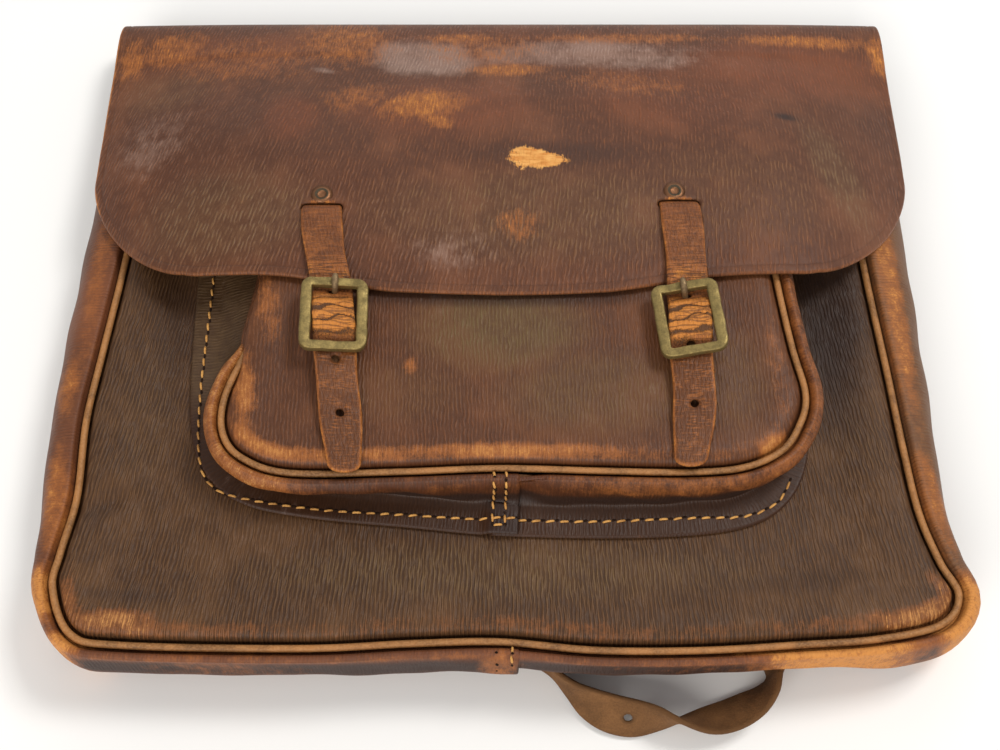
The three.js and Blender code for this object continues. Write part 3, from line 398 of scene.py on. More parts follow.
# How worn the pocket's rolled edge is along the bottom, by its place across
POCKET_CREST = table(
    "x strength",
    (-115, 0.6), (-95, 0.72), (-72, 0.56), (-30, 0.52), (-5, 0.7), (20, 0.66), (45, 0.5), (60, 0.3),
    (100, 0.28), (120, 0.3),
)
POCKET_OLIVE = patches(
    (0, -30, 60, 34, 0, 0.9),
    (40, -60, 70, 34, 0, 0.6),
    (-40, -60, 50, 26, 0, 0.4),
    (96, -55, 30, 44, 0, 0.5),
)
# Painted shadow under the flap's edge, and painted shade about the buckles
POCKET_PAINTED_SHADE = patches(
    (0, -14, 110, 10, 0, 0.8),
    (-69, -30, 16, 30, 0, 0.4),
    (79, -30, 16, 30, 0, 0.4),
)
GUSSET_WORN = patches(
    (-186, -46, 9, 26, 0, 0.5),
    (-187, -140, 16, 24, 0, 0.74),
    (-172, -158, 22, 8, 0, 0.78),
    (-110, -163, 60, 6, 0, 0.36),
    (70, -164, 60, 5, 0, 0.34),
    (186, -146, 30, 24, 0, 0.98),
    (126, -161, 68, 8, 0, 0.92),
    (-180, 20, 8, 110, -2, 0.38),
    (174, 10, 9, 120, 2, 0.6),
    (0, -165, 14, 5, 0, 0.5),
    (-184, -98, 10, 40, 4, 0.55),
    (180, -100, 9, 44, 10, 0.5),
)
GUSSET_DARK = patches(
    (-60, -166, 60, 7, 0, 0.3),
    (40, -166, 30, 7, 0, 0.4),
    (120, -165, 24, 6, 0, 0.3),
    (-190, 60, 10, 80, 0, 0.5),
    (190, 60, 9, 90, 0, 0.15),
)


# Arithmetic
def smooth(start, end, value):
    """0 before start and 1 after end, with a soft rise between."""
    share = np.clip((value - start) / (end - start), 0, 1)
    return share * share * (3 - 2 * share)


def mix(first, second, share):
    return first + (second - first) * share


def curve(rows, k):
    """Rows of numbers read at row numbers that need not be whole, on a smooth curve."""
    k = np.asarray(k, float)
    last = len(rows) - 1
    i = np.clip(np.floor(k).astype(int), 0, last - 1)
    t = (k - i).reshape(k.shape + (1,) * (rows.ndim - 1))
    a, b, c, d = (rows[np.clip(i + n, 0, last)] for n in (-1, 0, 1, 2))
    bend = 2 * a - 5 * b + 4 * c - d
    twist = 3 * b - a - 3 * c + d
    return b + 0.5 * ((c - a) * t + bend * t**2 + twist * t**3)


def between(rows, k):
    """A table read at row numbers, on a smooth curve."""
    return {name: curve(column, k) for name, column in rows.items()}


def along(rows, place, name, at):
    """A column of a table, read at values of another column that rises or falls steadily."""
    order = slice(None, None, 1 if rows[place][-1] > rows[place][0] else -1)
    k = np.interp(at, rows[place][order], np.arange(len(rows[place]))[order])
    return curve(rows[name], k)


def arc(points):
    """How far each point lies along the line through them."""
    steps = np.linalg.norm(np.diff(points, axis=0), axis=-1)
    return np.concatenate([[0], np.cumsum(steps)])


def paced(points, step):
    """Points a step apart along a line of points, with both its ends."""
    run = arc(points)
    count = max(2, round(run[-1] / step))
    at = np.linspace(0, run[-1], count + 1)
    return np.stack([np.interp(at, run, column) for column in points.T], 1)


def plan(place):
    """Places of a table as points in plan."""
    return np.stack([place["x"], place["y"]], 1)


def paced_rows(rows, step):
    """Row numbers of a line's table that stand a step apart along it."""
    k = np.linspace(0, len(rows["x"]) - 1, 40 * len(rows["x"]))
    run = arc(plan(between(rows, k)))
    return np.interp(np.linspace(0, run[-1], round(run[-1] / step) + 1), run, k)


def heading(rows, k):
    """Short steps in x and in y along a table's line at row numbers."""
    ahead = between(rows, np.minimum(k + HEADING_STEP, len(rows["x"]) - 1))
    behind = between(rows, np.maximum(k - HEADING_STEP, 0))
    return ahead["x"] - behind["x"], ahead["y"] - behind["y"]


def seam_at(rows, k):
    """Places on a seam line, with the direction out of the bag at each."""
    k = np.asarray(k, float)
    place = between(rows, k)
    step_x, step_y = heading(rows, k)
    run = np.hypot(step_x, step_y)
    place["out_x"] = step_y / run
    place["out_y"] = -step_x / run
    return place


def beside(place, distance):
    """Places at a distance out from places on a seam line."""
    return place["x"] + place["out_x"] * distance, place["y"] + place["out_y"] * distance


def in_parts(points, most=3000):
    """Points in lots that are small enough to be held against a whole line at once."""
    return np.array_split(points, len(points) // most + 1)


def distance_to(line, x, y):
    """How far places in plan lie from a line that is given by points."""
    run = np.diff(line, axis=0)
    length = (run**2).sum(-1)
    found = []
    for part in in_parts(np.stack([np.ravel(x), np.ravel(y)], 1)):
        offset = part[:, None, :] - line[:-1]
        t = np.clip((offset * run).sum(-1) / length, 0, 1)
        gap = offset - t[..., None] * run
        found.append(np.sqrt((gap**2).sum(-1).min(-1)))
    return np.concatenate(found).reshape(np.shape(x))


def within(loop, points):
    """Which places in plan lie inside a closed loop."""
    first, second = loop, np.roll(loop, -1, axis=0)
    rise = second[:, 1] - first[:, 1]
    slope = (second[:, 0] - first[:, 0]) / np.where(rise == 0, 1, rise)
    found = []
    for part in in_parts(points):
        x, y = part[:, :1], part[:, 1:]
        spans = (first[:, 1] > y) != (second[:, 1] > y)
        cross = first[:, 0] + (y - first[:, 1]) * slope
        found.append((spans & (x < cross)).sum(1) % 2 == 1)
    return np.concatenate(found)


def closed(loop):
    return np.concatenate([loop, loop[:1]])


def reaches(rows, x, y):
    """Each patch's amount, with how far off places lie in parts of its reach."""
    for n, amount in enumerate(rows["amount"]):
        turn = math.radians(rows["turn"][n])
        right, up = x - rows["x"][n], y - rows["y"][n]
        across = (right * math.cos(turn) + up * math.sin(turn)) / rows["wide"][n]
        yield amount, np.hypot(across, (up * math.cos(turn) - right * math.sin(turn)) / rows["tall"][n])


def spots(rows, x, y):
    """The strongest of several soft patches at each place."""
    strength = np.zeros(np.shape(x))
    for amount, reach in reaches(rows, x, y):
        strength = np.maximum(strength, amount * (1 - smooth(0.25, 1, reach)))
    return strength


def dents(rows, x, y):
    """The sum of several soft dents and swells at each place."""
    total = np.zeros(np.shape(x))
    for amount, reach in reaches(rows, x, y):
        total += amount * (1 - smooth(0, 1, reach))
    return total


def bell(offset, reach, power=2):
    """1 where an offset is 0, falling off over a reach."""
    return np.exp(-((offset / reach) ** power))


def ripple(x, y, size, seed, waves=8):
    """A gentle unevenness from about -1 to 1, whose swells stand about a size apart."""
    chance = np.random.default_rng(seed)
    total = 0
    for _ in range(waves):
        angle, wave, phase = chance.uniform((0, 0.7, 0), (2 * np.pi, 1.7, 2 * np.pi))
        total = total + np.sin((x * np.cos(angle) + y * np.sin(angle)) * 2 * np.pi / (wave * size) + phase)
    return total * 2 / waves


# Heights of the leather
def mouth_drop(y):
    return MOUTH_DROP * smooth(*MOUTH_SPAN, y)


def front_seam(y):
    return FRONT_HEIGHT - BOTTOM_DROP * smooth(*BOTTOM_SPAN, y) - mouth_drop(y)


def tuck_at(x, y):
    """How far the back's edge is drawn in from the front seam."""
    return TUCK * smooth(*TUCK_SPAN, y) * (1 - TUCK_LOST * smooth(*TUCK_SIDES, np.abs(x)))


def arch_at(x, y):
    """How far the back's edge is lifted where the shoulder strap comes out under it."""
    return ARCH * smooth(*ARCH_RISE, x) * (1 - smooth(*ARCH_FALL, x)) * smooth(*ARCH_SPAN, y)


def section_line(rows, step=0.1):
    """A section table as a smooth line of insets and heights."""
    made = between(rows, np.arange(0, len(rows["inset"]) - 1 + step / 2, step))
    return np.maximum.accumulate(made["inset"]), made["up"]


ROLLED = section_line(ROLLED_EDGE)
ROLLED_ROWS = slice(0, 43, 3)  # the places on it that make rings of a panel
PLAIN = section_line(PLAIN_EDGE)


def line_of(rows, step=SEAM_STEP):
    """Points in plan a step apart along a table's line."""
    return plan(between(rows, paced_rows(rows, step)))


BODY_OUTLINE = line_of(BODY_SEAM)
POCKET_OUTLINE = line_of(POCKET_LINE)


def front_height(x, y):
    """Middle of the front panel's wall."""
    distance = distance_to(BODY_OUTLINE, x, y)
    rim = front_seam(y) + np.interp(distance, *ROLLED)
    level = PANEL_HEIGHT - mouth_drop(y) + front_extra(x, y) + 0.45 * ripple(x, y, 60, 3)
    share = smooth(*PANEL_RIM, distance)
    return mix(rim, level, share) + front_extra(x, y) * (1 - share)


def crown(x):
    """1 over the pocket, falling to 0 at the flap's side edges."""
    level = np.where(x < 0, PLATEAU["left"], PLATEAU["right"])
    share = np.clip((np.abs(x) - level) / (FLAP_HALF - level), 0, 1)
    return np.cos(np.pi / 2 * share**1.2)


def flap_height(x, y):
    """Middle of the flap's wall."""
    side = FLAP_SIDE - SIDE_DROP * smooth(*SIDE_SPAN, y)
    return mix(side, along(FLAP_RIDGE, "y", "z", y), crown(x))


def edge_at(x):
    """The flap's lower edge at places across."""
    return along(FLAP_EDGE, "x", "y", np.abs(x))


def back_edge():
    """The back's outline in plan."""
    place = seam_at(BODY_SEAM, paced_rows(BODY_SEAM, SEAM_STEP))
    return np.stack(beside(place, -tuck_at(place["x"], place["y"])), 1)


BACK_OUTLINE = back_edge()


def back_height(x, y):
    """Middle of the back's wall."""
    distance = distance_to(BACK_OUTLINE, x, y)
    under = arch_at(x, y) + DOME * smooth(*DOME_RIM, distance)
    return under + LEATHER / 2 + np.interp(distance, *PLAIN)


def pocket_seam_height(y):
    return POCKET_SEAM - POCKET_MOUTH_DROP * smooth(*POCKET_MOUTH_SPAN, y)


def pocket_cover(x, y):
    """1 where the pocket's front folds over its own piping, high on the left."""
    return smooth(*COVER_SPAN, y) * (x < 0)


def no_cover(x, y):
    return np.zeros(np.shape(x))


def front_extra(x, y):
    return dents(FRONT_DENTS, x, y)


def pocket_height(x, y):
    """Middle of the pocket front's wall."""
    distance = distance_to(POCKET_OUTLINE, x, y) + COVER_REACH * pocket_cover(x, y)
    seam = pocket_seam_height(y)
    rim = seam + np.interp(distance / POCKET_SCALE, *ROLLED) * POCKET_SCALE
    level = seam + POCKET_FILL + dents(POCKET_DENTS, x, y)
    return mix(rim, level, smooth(*POCKET_RIM, distance))


def pocket_level(x):
    """Height of the pocket's front under the straps, at a place across."""
    return float(pocket_height(np.array([x]), np.array([STRAP_LIES]))[0])


def on_panel(x, y):
    """Middle of a pocket leather that lies on the front panel."""
    return front_height(x, y) + (LEATHER + POCKET_LEATHER) / 2 + CLEARANCE


# Sheets
class Sheet:
    """Leather: points down its middle, faces, half thickness, flat places and marks on its surface."""

    def __init__(self, points, faces, half, flat, **marks):
        self.points = np.asarray(points, float)
        self.faces = faces
        self.half = np.broadcast_to(half, len(points)).astype(float)
        self.flat = np.asarray(flat, float)
        self.marks = marks

    def normals(self):
        """The direction out of the leather's grain side at each point."""
        total = np.zeros_like(self.points)
        for sides in (3, 4):
            corners = np.array([face for face in self.faces if len(face) == sides], int)
            if not len(corners):
                continue
            placed = self.points[corners]
            across = np.cross(placed[:, 2] - placed[:, 0], placed[:, -1] - placed[:, 1])
            for n in range(sides):
                np.add.at(total, corners[:, n], across)
        return total / np.maximum(np.linalg.norm(total, axis=1, keepdims=True), 1e-9)

    def surface(self):
        """Points on the grain side."""
        return self.points + self.normals() * self.half[:, None]

    def wall(self):
        """A closed wall: its points, faces, flat places and marks."""
        count = len(self.points)
        offset = self.normals() * self.half[:, None]
        points = np.concatenate([self.points + offset, self.points - offset])
        faces = [tuple(face) for face in self.faces]
        faces += [tuple(n + count for n in reversed(face)) for face in self.faces]
        edges = dict.fromkeys((face[n - 1], face[n]) for face in self.faces for n in range(len(face)))
        faces += [(b, a, a + count, b + count) for a, b in edges if (b, a) not in edges]
        marks = {name: np.tile(np.broadcast_to(mark, count), 2) for name, mark in self.marks.items()}
        marks["side"] = np.repeat([0.0, 1.0], count)
        return points, faces, np.tile(self.flat, (2, 1)), marks


def rounded(edge, radius, least=0.28):
    """Share of the thickness that is left near a cut edge."""
    share = 1 - np.clip(edge / radius, 0, 1)
    return np.maximum(least, np.sqrt(1 - share**2))


def band_faces(rings, count, wrap=True, joined=False):
    """Four-sided faces between rings of points, which may wrap round and join the last to the first."""
    faces = []
    for ring in range(rings if joined else rings - 1):
        here, ahead = ring * count, (ring + 1) % rings * count
        for i in range(count if wrap else count - 1):
            j = (i + 1) % count
            faces.append((here + i, here + j, ahead + j, ahead + i))
    return faces


def even_field(loop, bands, holes):
    """Points in even rows inside a loop and outside its holes. A band has two bounds and a spacing."""
    borders = [(loop, True, 0.55), *((hole, False, 0.5) for hole in holes)]
    found = []
    for low, high, step in bands:
        rows = np.arange(max(low, loop[:, 1].min()), min(high, loop[:, 1].max()), step * ROW_SHARE)
        columns = np.arange(loop[:, 0].min(), loop[:, 0].max(), step)
        x, y = np.meshgrid(columns, rows)
        x[1::2] += step / 2
        points = np.stack([x.ravel(), y.ravel()], 1)
        kept = np.ones(len(points), bool)
        for border, inside, room in borders:
            kept &= within(border, points) == inside
            kept &= distance_to(closed(border), *points.T) > room * step
        found.append(points[kept])
    return np.concatenate(found)


def fill(rings, bands, closing=None, holes=()):
    """Flat points and faces over rings from the outside in and an even field inside the last.

    Rings that are open have closing points that lead from their ends back to their starts.
    """
    count = rings.shape[1]
    faces = band_faces(len(rings), count, wrap=closing is None)
    inner = rings[-1] if closing is None else np.concatenate([rings[-1], closing])
    collars = [hole + (hole - hole.mean(0)) * COLLAR / np.ptp(hole[:, 1]) for hole in holes]
    loose = [*collars, even_field(inner, bands, [*holes, *collars])]
    shape = np.concatenate([inner, *holes, *loose])
    edges, start = [], 0
    for loop in (inner, *holes):
        size = len(loop)
        edges += [(start + n, start + (n + 1) % size) for n in range(size)]
        start += size
    made = geometry.delaunay_2d_cdt(shape.tolist(), edges, [], 1, 1e-6)
    source = np.array([came[0] for came in made[3]])
    triangles = source[np.array(made[2], int)]
    centres = shape[triangles].mean(1)
    for hole in holes:
        kept = ~within(hole, centres)
        triangles, centres = triangles[kept], centres[kept]
    before = (len(rings) - 1) * count
    faces += [tuple(face) for face in (triangles + before).tolist()]
    return np.concatenate([rings[:-1].reshape(-1, 2), shape]), faces


def inset_rings(outline, insets, share=1.0):
    """Loops at shares of given distances inside a closed outline that runs anticlockwise."""
    run = np.roll(outline, -1, 0) - np.roll(outline, 1, 0)
    run /= np.linalg.norm(run, axis=1, keepdims=True)
    inward = np.stack([-run[:, 1], run[:, 0]], 1) * np.reshape(share, (-1, 1))
    return np.stack([outline + inward * distance for distance in insets])


def cut_sheet(outline, thickness, bands, lift, holes=(), insets=EDGE_INSETS, share=1.0):
    """A sheet cut to a flat outline with holes, its edges rounded, and lifted to its place."""
    flat, faces = fill(inset_rings(outline, insets, share), bands, holes=holes)
    edge = np.minimum.reduce([distance_to(closed(loop), *flat.T) for loop in (outline, *holes)])
    half = thickness / 2 * rounded(edge, thickness / 2)
    return Sheet(lift(*flat.T), faces, half, flat, edge=edge)


def grid_sheet(points, thickness, flat, edge=None):
    """A sheet over a grid of points, with their distances from its cut edges if it has any."""
    rows, columns = points.shape[:2]
    edge = np.full(rows * columns, UNCUT) if edge is None else edge.ravel()
    half = thickness / 2 * rounded(edge, thickness / 2)
    faces = band_faces(rows, columns, wrap=False)
    return Sheet(points.reshape(-1, 3), faces, half, flat.reshape(-1, 2), edge=edge)


def circle(angle, radius=1.0):
    """Points at angles round a circle."""
    return np.stack([radius * np.cos(angle), radius * np.sin(angle)], 1)


def round_angles(count):
    return np.arange(count) / count * 2 * np.pi


def ring_loop(x, y, radius, count=14):
    """A round hole's loop."""
    return circle(round_angles(count), radius) + (x, y)


def box_loop(x, y, wide, tall, corner, step=1.0):
    """A loop round a box with rounded corners, anticlockwise."""
    found = []
    quarter = np.linspace(0, np.pi / 2, 6)
    for n, (sx, sy) in enumerate(((1, 1), (-1, 1), (-1, -1), (1, -1))):
        centre = (x + sx * (wide / 2 - corner), y + sy * (tall / 2 - corner))
        found.append(circle(quarter + n * np.pi / 2, corner) + centre)
    return paced(closed(np.concatenate(found)), step)[:-1]


def tube(line, radius, sides, rights=None, squash=1.0, joined=False, square=1.0):
    """Points and faces of a bar along a line, whose radius may change along it.

    Its section is round, but may be squashed or more square. Its right may be given.
    """
    line = np.asarray(line, float)
    count = len(line)
    radius = np.broadcast_to(radius, count)
    if joined:
        run = np.roll(line, -1, 0) - np.roll(line, 1, 0)
    else:
        run = np.gradient(line, axis=0)
    run = run / np.linalg.norm(run, axis=1, keepdims=True)
    rights = np.cross(run, (0, 0, 1)) if rights is None else np.broadcast_to(rights, line.shape)
    rights = rights / np.linalg.norm(rights, axis=1, keepdims=True)
    ups = np.cross(rights, run)
    section = circle(round_angles(sides))
    section = np.sign(section) * np.abs(section) ** square * (1, squash)
    offsets = section[None, :, :1] * rights[:, None] + section[None, :, 1:] * ups[:, None]
    points = line[:, None] + offsets * radius[:, None, None]
    faces = band_faces(count, sides, joined=joined)
    if not joined:
        faces.append(tuple(range(sides - 1, -1, -1)))
        faces.append(tuple(range((count - 1) * sides, count * sides)))
    return points.reshape(-1, 3), faces


def merged(*parts):
    """Several lots of points and faces as one."""
    points, faces = [], []
    for more, corners in parts:
        start = sum(len(lot) for lot in points)
        points.append(more)
        faces += [tuple(n + start for n in face) for face in corners]
    return np.concatenate(points), faces


# Pieces in the scene
def new_mesh(name, points, faces, flat=None, marks=None):
    """A smooth mesh in metres, with its flat places as a UV map and its marks as attributes."""
    mesh = bpy.data.meshes.new(name)
    mesh.from_pydata((np.asarray(points) * MM).tolist(), [], faces)
    if flat is not None:
        layer = mesh.uv_layers.new(name="UVMap")
        corners = np.zeros(len(mesh.loops), int)
        mesh.loops.foreach_get("vertex_index", corners)
        layer.data.foreach_set("uv", (np.asarray(flat)[corners] * MM).ravel())
    for label, values in (marks or {}).items():
        attribute = mesh.attributes.new(label, "FLOAT", "POINT")
        attribute.data.foreach_set("value", np.asarray(values, np.float32))
    mesh.shade_smooth()
    mesh.validate()
    mesh.update()
    return mesh


def put(name, mesh, material, slot, *nodes):
    """A piece in the scene that rides on the bag and stands for solids of the frame."""
    piece = bpy.data.objects.new(name, mesh)
    bpy.context.scene.collection.objects.link(piece)
    return dress(piece, material, slot, *nodes)


def dress(piece, material, slot, *nodes):
    """Gives a piece its material, and says what it rides on and stands for."""
    piece.data.materials.clear()
    piece.data.materials.append(material)
    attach(piece, BODY)
    if nodes:
        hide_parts(*nodes)
    return piece


def put_sheet(name, sheet, material, slot, *nodes):
    points, faces, flat, marks = sheet.wall()
    return put(name, new_mesh(name, points, faces, flat, marks), material, slot, *nodes)


# Node arithmetic
class Field:
    """A socket of a node tree, with arithmetic that adds the nodes it needs."""

    def __init__(self, tree, socket=None):
        self.tree = tree
        self.socket = socket

    def node(self, kind, settings=None, sockets=None, output=None):
        """A new node: its settings are set first, then the values or links of its sockets."""
        made = self.tree.nodes.new(kind)
        for name, value in (settings or {}).items():
            setattr(made, name, value)
        for name, value in (sockets or {}).items():
            if isinstance(name, int):
                entry = made.inputs[name]
            else:
                entry = next(s for s in made.inputs if s.name == name and s.enabled)
            if isinstance(value, Field):
                self.tree.links.new(value.socket, entry)
            else:
                entry.default_value = value
        shown = [s for s in made.outputs if s.enabled and output in (None, s.name)]
        return Field(self.tree, shown[0] if shown else None)

    def math(self, operation, second=0.0, first=None):
        """One sum, whose first number is this one unless another is given."""
        sockets = {0: self if first is None else first, 1: second}
        return self.node("ShaderNodeMath", {"operation": operation}, sockets)

    def __add__(self, other):
        return self.math("ADD", other)

    def __sub__(self, other):
        return self.math("SUBTRACT", other)

    def __rsub__(self, other):
        return self.math("SUBTRACT", self, other)

    def __mul__(self, other):
        return self.math("MULTIPLY", other)

    __radd__ = __add__
    __rmul__ = __mul__

    def rise(self, low, high):
        """0 below low and 1 above high, with a soft rise between."""
        return self.node(
            "ShaderNodeMapRange",
            {"interpolation_type": "SMOOTHSTEP"},
            {"Value": self, "From Min": low, "From Max": high},
        )

    def choose(self, *colours):
        """The first of two colours where this is 0 and the second where it is 1."""
        first, second = (part if isinstance(part, Field) else (*part, 1.0) for part in colours)
        return self.node("ShaderNodeMix", {"data_type": "RGBA"}, {"Factor": self, "A": first, "B": second})

    def scaled(self, *sizes):
        """A place in parts of sizes in metres: one for all axes, two for flat places, or three."""
        parts = tuple(1 / size for size in sizes) * 3
        return self.node("ShaderNodeVectorMath", {"operation": "MULTIPLY"}, {0: self, 1: parts[:3]})

    def noise(self, detail=2.0, roughness=0.5):
        """Cloudy numbers about 0.5 over a place."""
        sockets = {"Vector": self, "Scale": 1.0, "Detail": detail, "Roughness": roughness}
        return self.node("ShaderNodeTexNoise", None, sockets, "Fac")


def linear(red, green, blue):
    """A colour given as it looks on a screen, in parts of 255, as light."""
    parts = [value / 255 for value in (red, green, blue)]
    return tuple(p / 12.92 if p < 0.04045 else ((p + 0.055) / 1.055) ** 2.4 for p in parts)


def new_material(name):
    """A material, the start of its tree, its shader, and the places that patterns are drawn over."""
    material = bpy.data.materials.new(name)
    material.use_nodes = True
    start = Field(material.node_tree)
    shader = next(node for node in start.tree.nodes if node.type == "BSDF_PRINCIPLED")
    return material, start, shader, start.node("ShaderNodeTexCoord", None, None, "Object")


def feed(start, shader, **values):
    """Sets a shader's sockets: a name's underlines stand for spaces."""
    for label, value in values.items():
        entry = shader.inputs[label.replace("_", " ")]
        if isinstance(value, Field):
            start.tree.links.new(value.socket, entry)
        else:
            entry.default_value = value


def bumped(start, height, distance):
    """A surface direction from a height in parts of a distance in metres."""
    return start.node("ShaderNodeBump", None, {"Height": height, "Distance": distance})


def mark(start, name):
    return start.node("ShaderNodeAttribute", {"attribute_name": name}, None, "Fac")


# Finishes
def grain(flat, pitch, run, lean, stray, broken):
    """Ridges a pitch apart that lean by a pitch over a run and stray sideways, from 0 to 1.

    They are whole where broken is 0 and short strokes where it is 1.
    """
    across, down = (flat.node("ShaderNodeSeparateXYZ", None, {"Vector": flat}, axis) for axis in "XY")
    drift = flat.scaled(pitch * 3, run * 0.5).noise(1.0)
    turns = (across * (1 / pitch) + down * (lean / run) + drift * stray) * (2 * math.pi)
    lit = turns.math("SINE").rise(-0.6, 0.95)
    fade = flat.scaled(pitch * 1.4, run * 0.36).noise(2.0)
    fade = fade.rise(0.3 + broken * 0.14, 0.62 + broken * 0.06)
    whole = 0.3 * (1 - broken)
    return lit * (whole + fade * (1 - whole))


def wrinkle(flat, width, height, thin):
    """Wavy lines about a height apart, as numbers from 0 to 1."""
    off = flat.scaled(width, height).noise() - 0.5
    return 1 - off.math("ABSOLUTE").rise(thin * 0.25, thin)


def leather(
    name, colours, pitch, run, depth, lean=0.3, net=0.5, contrast=0.5, gloss=0.5, fibre=0.8, crack=0.0,
    line=0.0, broken=0.1,
):
    """Worn long-grained leather, whose marks say where it is worn or stained and where shade and sheen are
    painted on.

    Its ridges stand a pitch apart and lean over a run along the flat places' second axis, and a net of
    weaker ones crosses them. Contrast is how much they show, fibre how ragged the worn places are, crack
    how deep it is cracked and how dark the painted shade in its folds is, and line how dark the painted
    shade in the line pressed along its edge is.
    """
    material, start, shader, place = new_material(name)
    flat = start.node("ShaderNodeUVMap", {"uv_map": "UVMap"})
    labels = ("wear", "red", "olive", "grey", "dark", "side")
    wear, red, olive, grey, dark, side = (mark(start, label) for label in labels)

    first = grain(flat, pitch, run, lean, 1.15, broken)
    second = grain(flat, pitch * 1.17, run, lean - 1, 1.0, broken)
    ridge = first.math("MAXIMUM", second * net)
    pores = flat.scaled(0.0004, 0.0007).noise(2.0, 0.65)
    streaks = flat.scaled(0.0008, 0.007).noise(4.0, 0.7)
    clouds = place.scaled(0.034).noise(3.0, 0.55)
    blots = place.scaled(0.0048, 0.0062, 0.0062).noise(8.0, 0.72)
    pore, streak, cloud, blot = (drawn - 0.5 for drawn in (pores, streaks, clouds, blots))

    tone = ridge * contrast + (1 - contrast) * 0.55 + pore * 0.5 + blot * 0.6
    colour = tone.rise(-0.05, 1.0).choose(colours["deep"], colours["main"])
    colour = (clouds.rise(0.44, 0.7) * 0.36).choose(colour, colours["light"])
    reddened = (red * 0.85 + cloud * 0.5 + streak * 0.5).rise(0.08, 0.95)
    colour = (reddened * (0.75 - contrast * 0.6 + ridge * contrast)).choose(colour, colours["red"])
    olive_share = (olive * (1 - contrast + ridge * contrast) * (blots + 0.35)).rise(0.05, 0.95)
    colour = olive_share.choose(colour, colours["olive"])
    # The dark mark holds stains and, on some pieces, painted shade
    darkened = (dark * (0.55 + blots * 0.8)).rise(0.05, 1.1)
    colour = darkened.choose(colour, colours["dark"])
    # Painted sheen: grey-lilac laid on where the mark and the noise call for it, in place of the reflection
    # of the light; the same mark also holds pale scuffs
    sheen_and_scuff_share = (grey + streak * 0.6 + blot * 1.1 + cloud * 1.2 - 0.3).rise(-0.08, 0.75)
    colour = (sheen_and_scuff_share * (0.45 + ridge * 0.35)).choose(colour, colours["grey"])

    rough_edge = streak * fibre + blot * 1.1 + pore * 0.45 + (ridge - 0.5) * contrast * 0.2
    bare = wear + rough_edge - 0.5
    thin = bare.rise(-0.34, 0.14)
    specks = place.scaled(0.0018, 0.0026, 0.0022).noise(5.0, 0.65).rise(0.5, 0.66)
    worn = bare.rise(0.04, 0.3) * (1 - specks * 0.6)
    colour = (thin * 0.85).choose(colour, colours["orange"])
    kept = 1 - (1 - ridge) * (1 - bare.rise(0.15, 0.6)) * contrast * 0.9
    colour = (worn * kept * (0.55 + pores * 0.6)).choose(colour, colours["tan"])
    if crack:
        fine = wrinkle(flat, 0.011, 0.0012, 0.05) * blots.rise(0.4, 0.6) * (1 - worn)
        colour = (fine * crack * 0.85).choose(colour, colours["orange"])
        # Dark cracks, and painted shade in the troughs of the folds over the bar
        fold_shade = (mark(start, "fold") + blot * 1.7 + pore * 1.1).rise(0.3, 0.7)
        deep = (wrinkle(flat, 0.02, 0.0017, 0.05) * mark(start, "split")).math("MAXIMUM", fold_shade)
        colour = (deep * crack).choose(colour, colours["dark"])
    if line:
        edge, torn = mark(start, "edge"), mark(start, "torn")
        # Painted shade in the crease pressed along the edge
        cut = 1 - (edge - CREASE_INSET).math("ABSOLUTE").rise(0.1, 0.9)
        colour = (cut * line).choose(colour, colours["dark"])
        rim = (1 - edge.rise(0.3, 1.5)) * streaks.rise(0.35, 0.7)
        colour = (rim * 0.6).choose(colour, colours["orange"])
        gone = (torn + blot * 0.7 + streak * 0.4 + pore * 0.3).rise(0.47, 0.54)
        fluff = place.scaled(0.006, 0.0016, 0.004).noise(4.0, 0.65)
        bared = fluff.rise(0.3, 0.7).choose(linear(196, 122, 46), linear(226, 168, 92))
        colour = gone.choose(colour, bared)
    flesh = (pores * 0.7 + blots * 0.5).rise(0.2, 0.9).choose(linear(70, 45, 25), linear(108, 70, 38))
    colour = side.rise(0.35, 0.65).choose(colour, flesh)

    height = ridge * 0.7 + pores * 0.18 + blots * 0.2 - worn * 0.2
    if crack:
        height = height - deep * 0.8
    rough = 0.64 - gloss * 0.3 + pore * 0.25 + worn * 0.12 - grey * 0.06 + side * 0.3
    feed(
        start, shader, Base_Color=colour, Roughness=rough, Specular_IOR_Level=0.3,
        Normal=bumped(start, height, depth),
    )
    return material


def piping_leather(name, tan, dark):
    """Rubbed cord leather: tan, and dark where it is soiled."""
    material, start, shader, place = new_material(name)
    blots = place.scaled(0.007).noise(4.0, 0.62)
    pores = place.scaled(0.0009).noise()
    soiled = (blots * 0.7 + place.scaled(0.05).noise() * 0.6 - 0.08).rise(0.42, 0.8)
    light = (pores - 0.2).rise(0.1, 0.6) * 0.4
    colour = light.choose(soiled.choose(tan, dark), linear(190, 142, 92))
    height = blots * 0.6 + pores * 0.4
    feed(start, shader, Base_Color=colour, Roughness=0.55 + (pores - 0.5) * 0.2, Specular_IOR_Level=0.3)
    feed(start, shader, Normal=bumped(start, height, 0.0005))
    return material


def suede(name, light, dark):
    """The rough flesh side of a strap."""
    material, start, shader, place = new_material(name)
    nap = place.scaled(0.0008).noise(3.0, 0.65)
    blots = place.scaled(0.012).noise(4.0, 0.6)
    colour = (nap * 0.5 + blots * 0.7 - 0.1).rise(0.25, 0.8).choose(dark, light)
    # Painted shade on the strap's cut edges
    rim = 1 - mark(start, "edge").rise(0.3, 1.3)
    colour = (rim * 0.75).choose(colour, dark)
    height = nap * 0.7 + blots * 0.3
    feed(start, shader, Base_Color=colour, Roughness=0.86, Specular_IOR_Level=0.2)
    feed(start, shader, Normal=bumped(start, height, 0.0006))
    return material


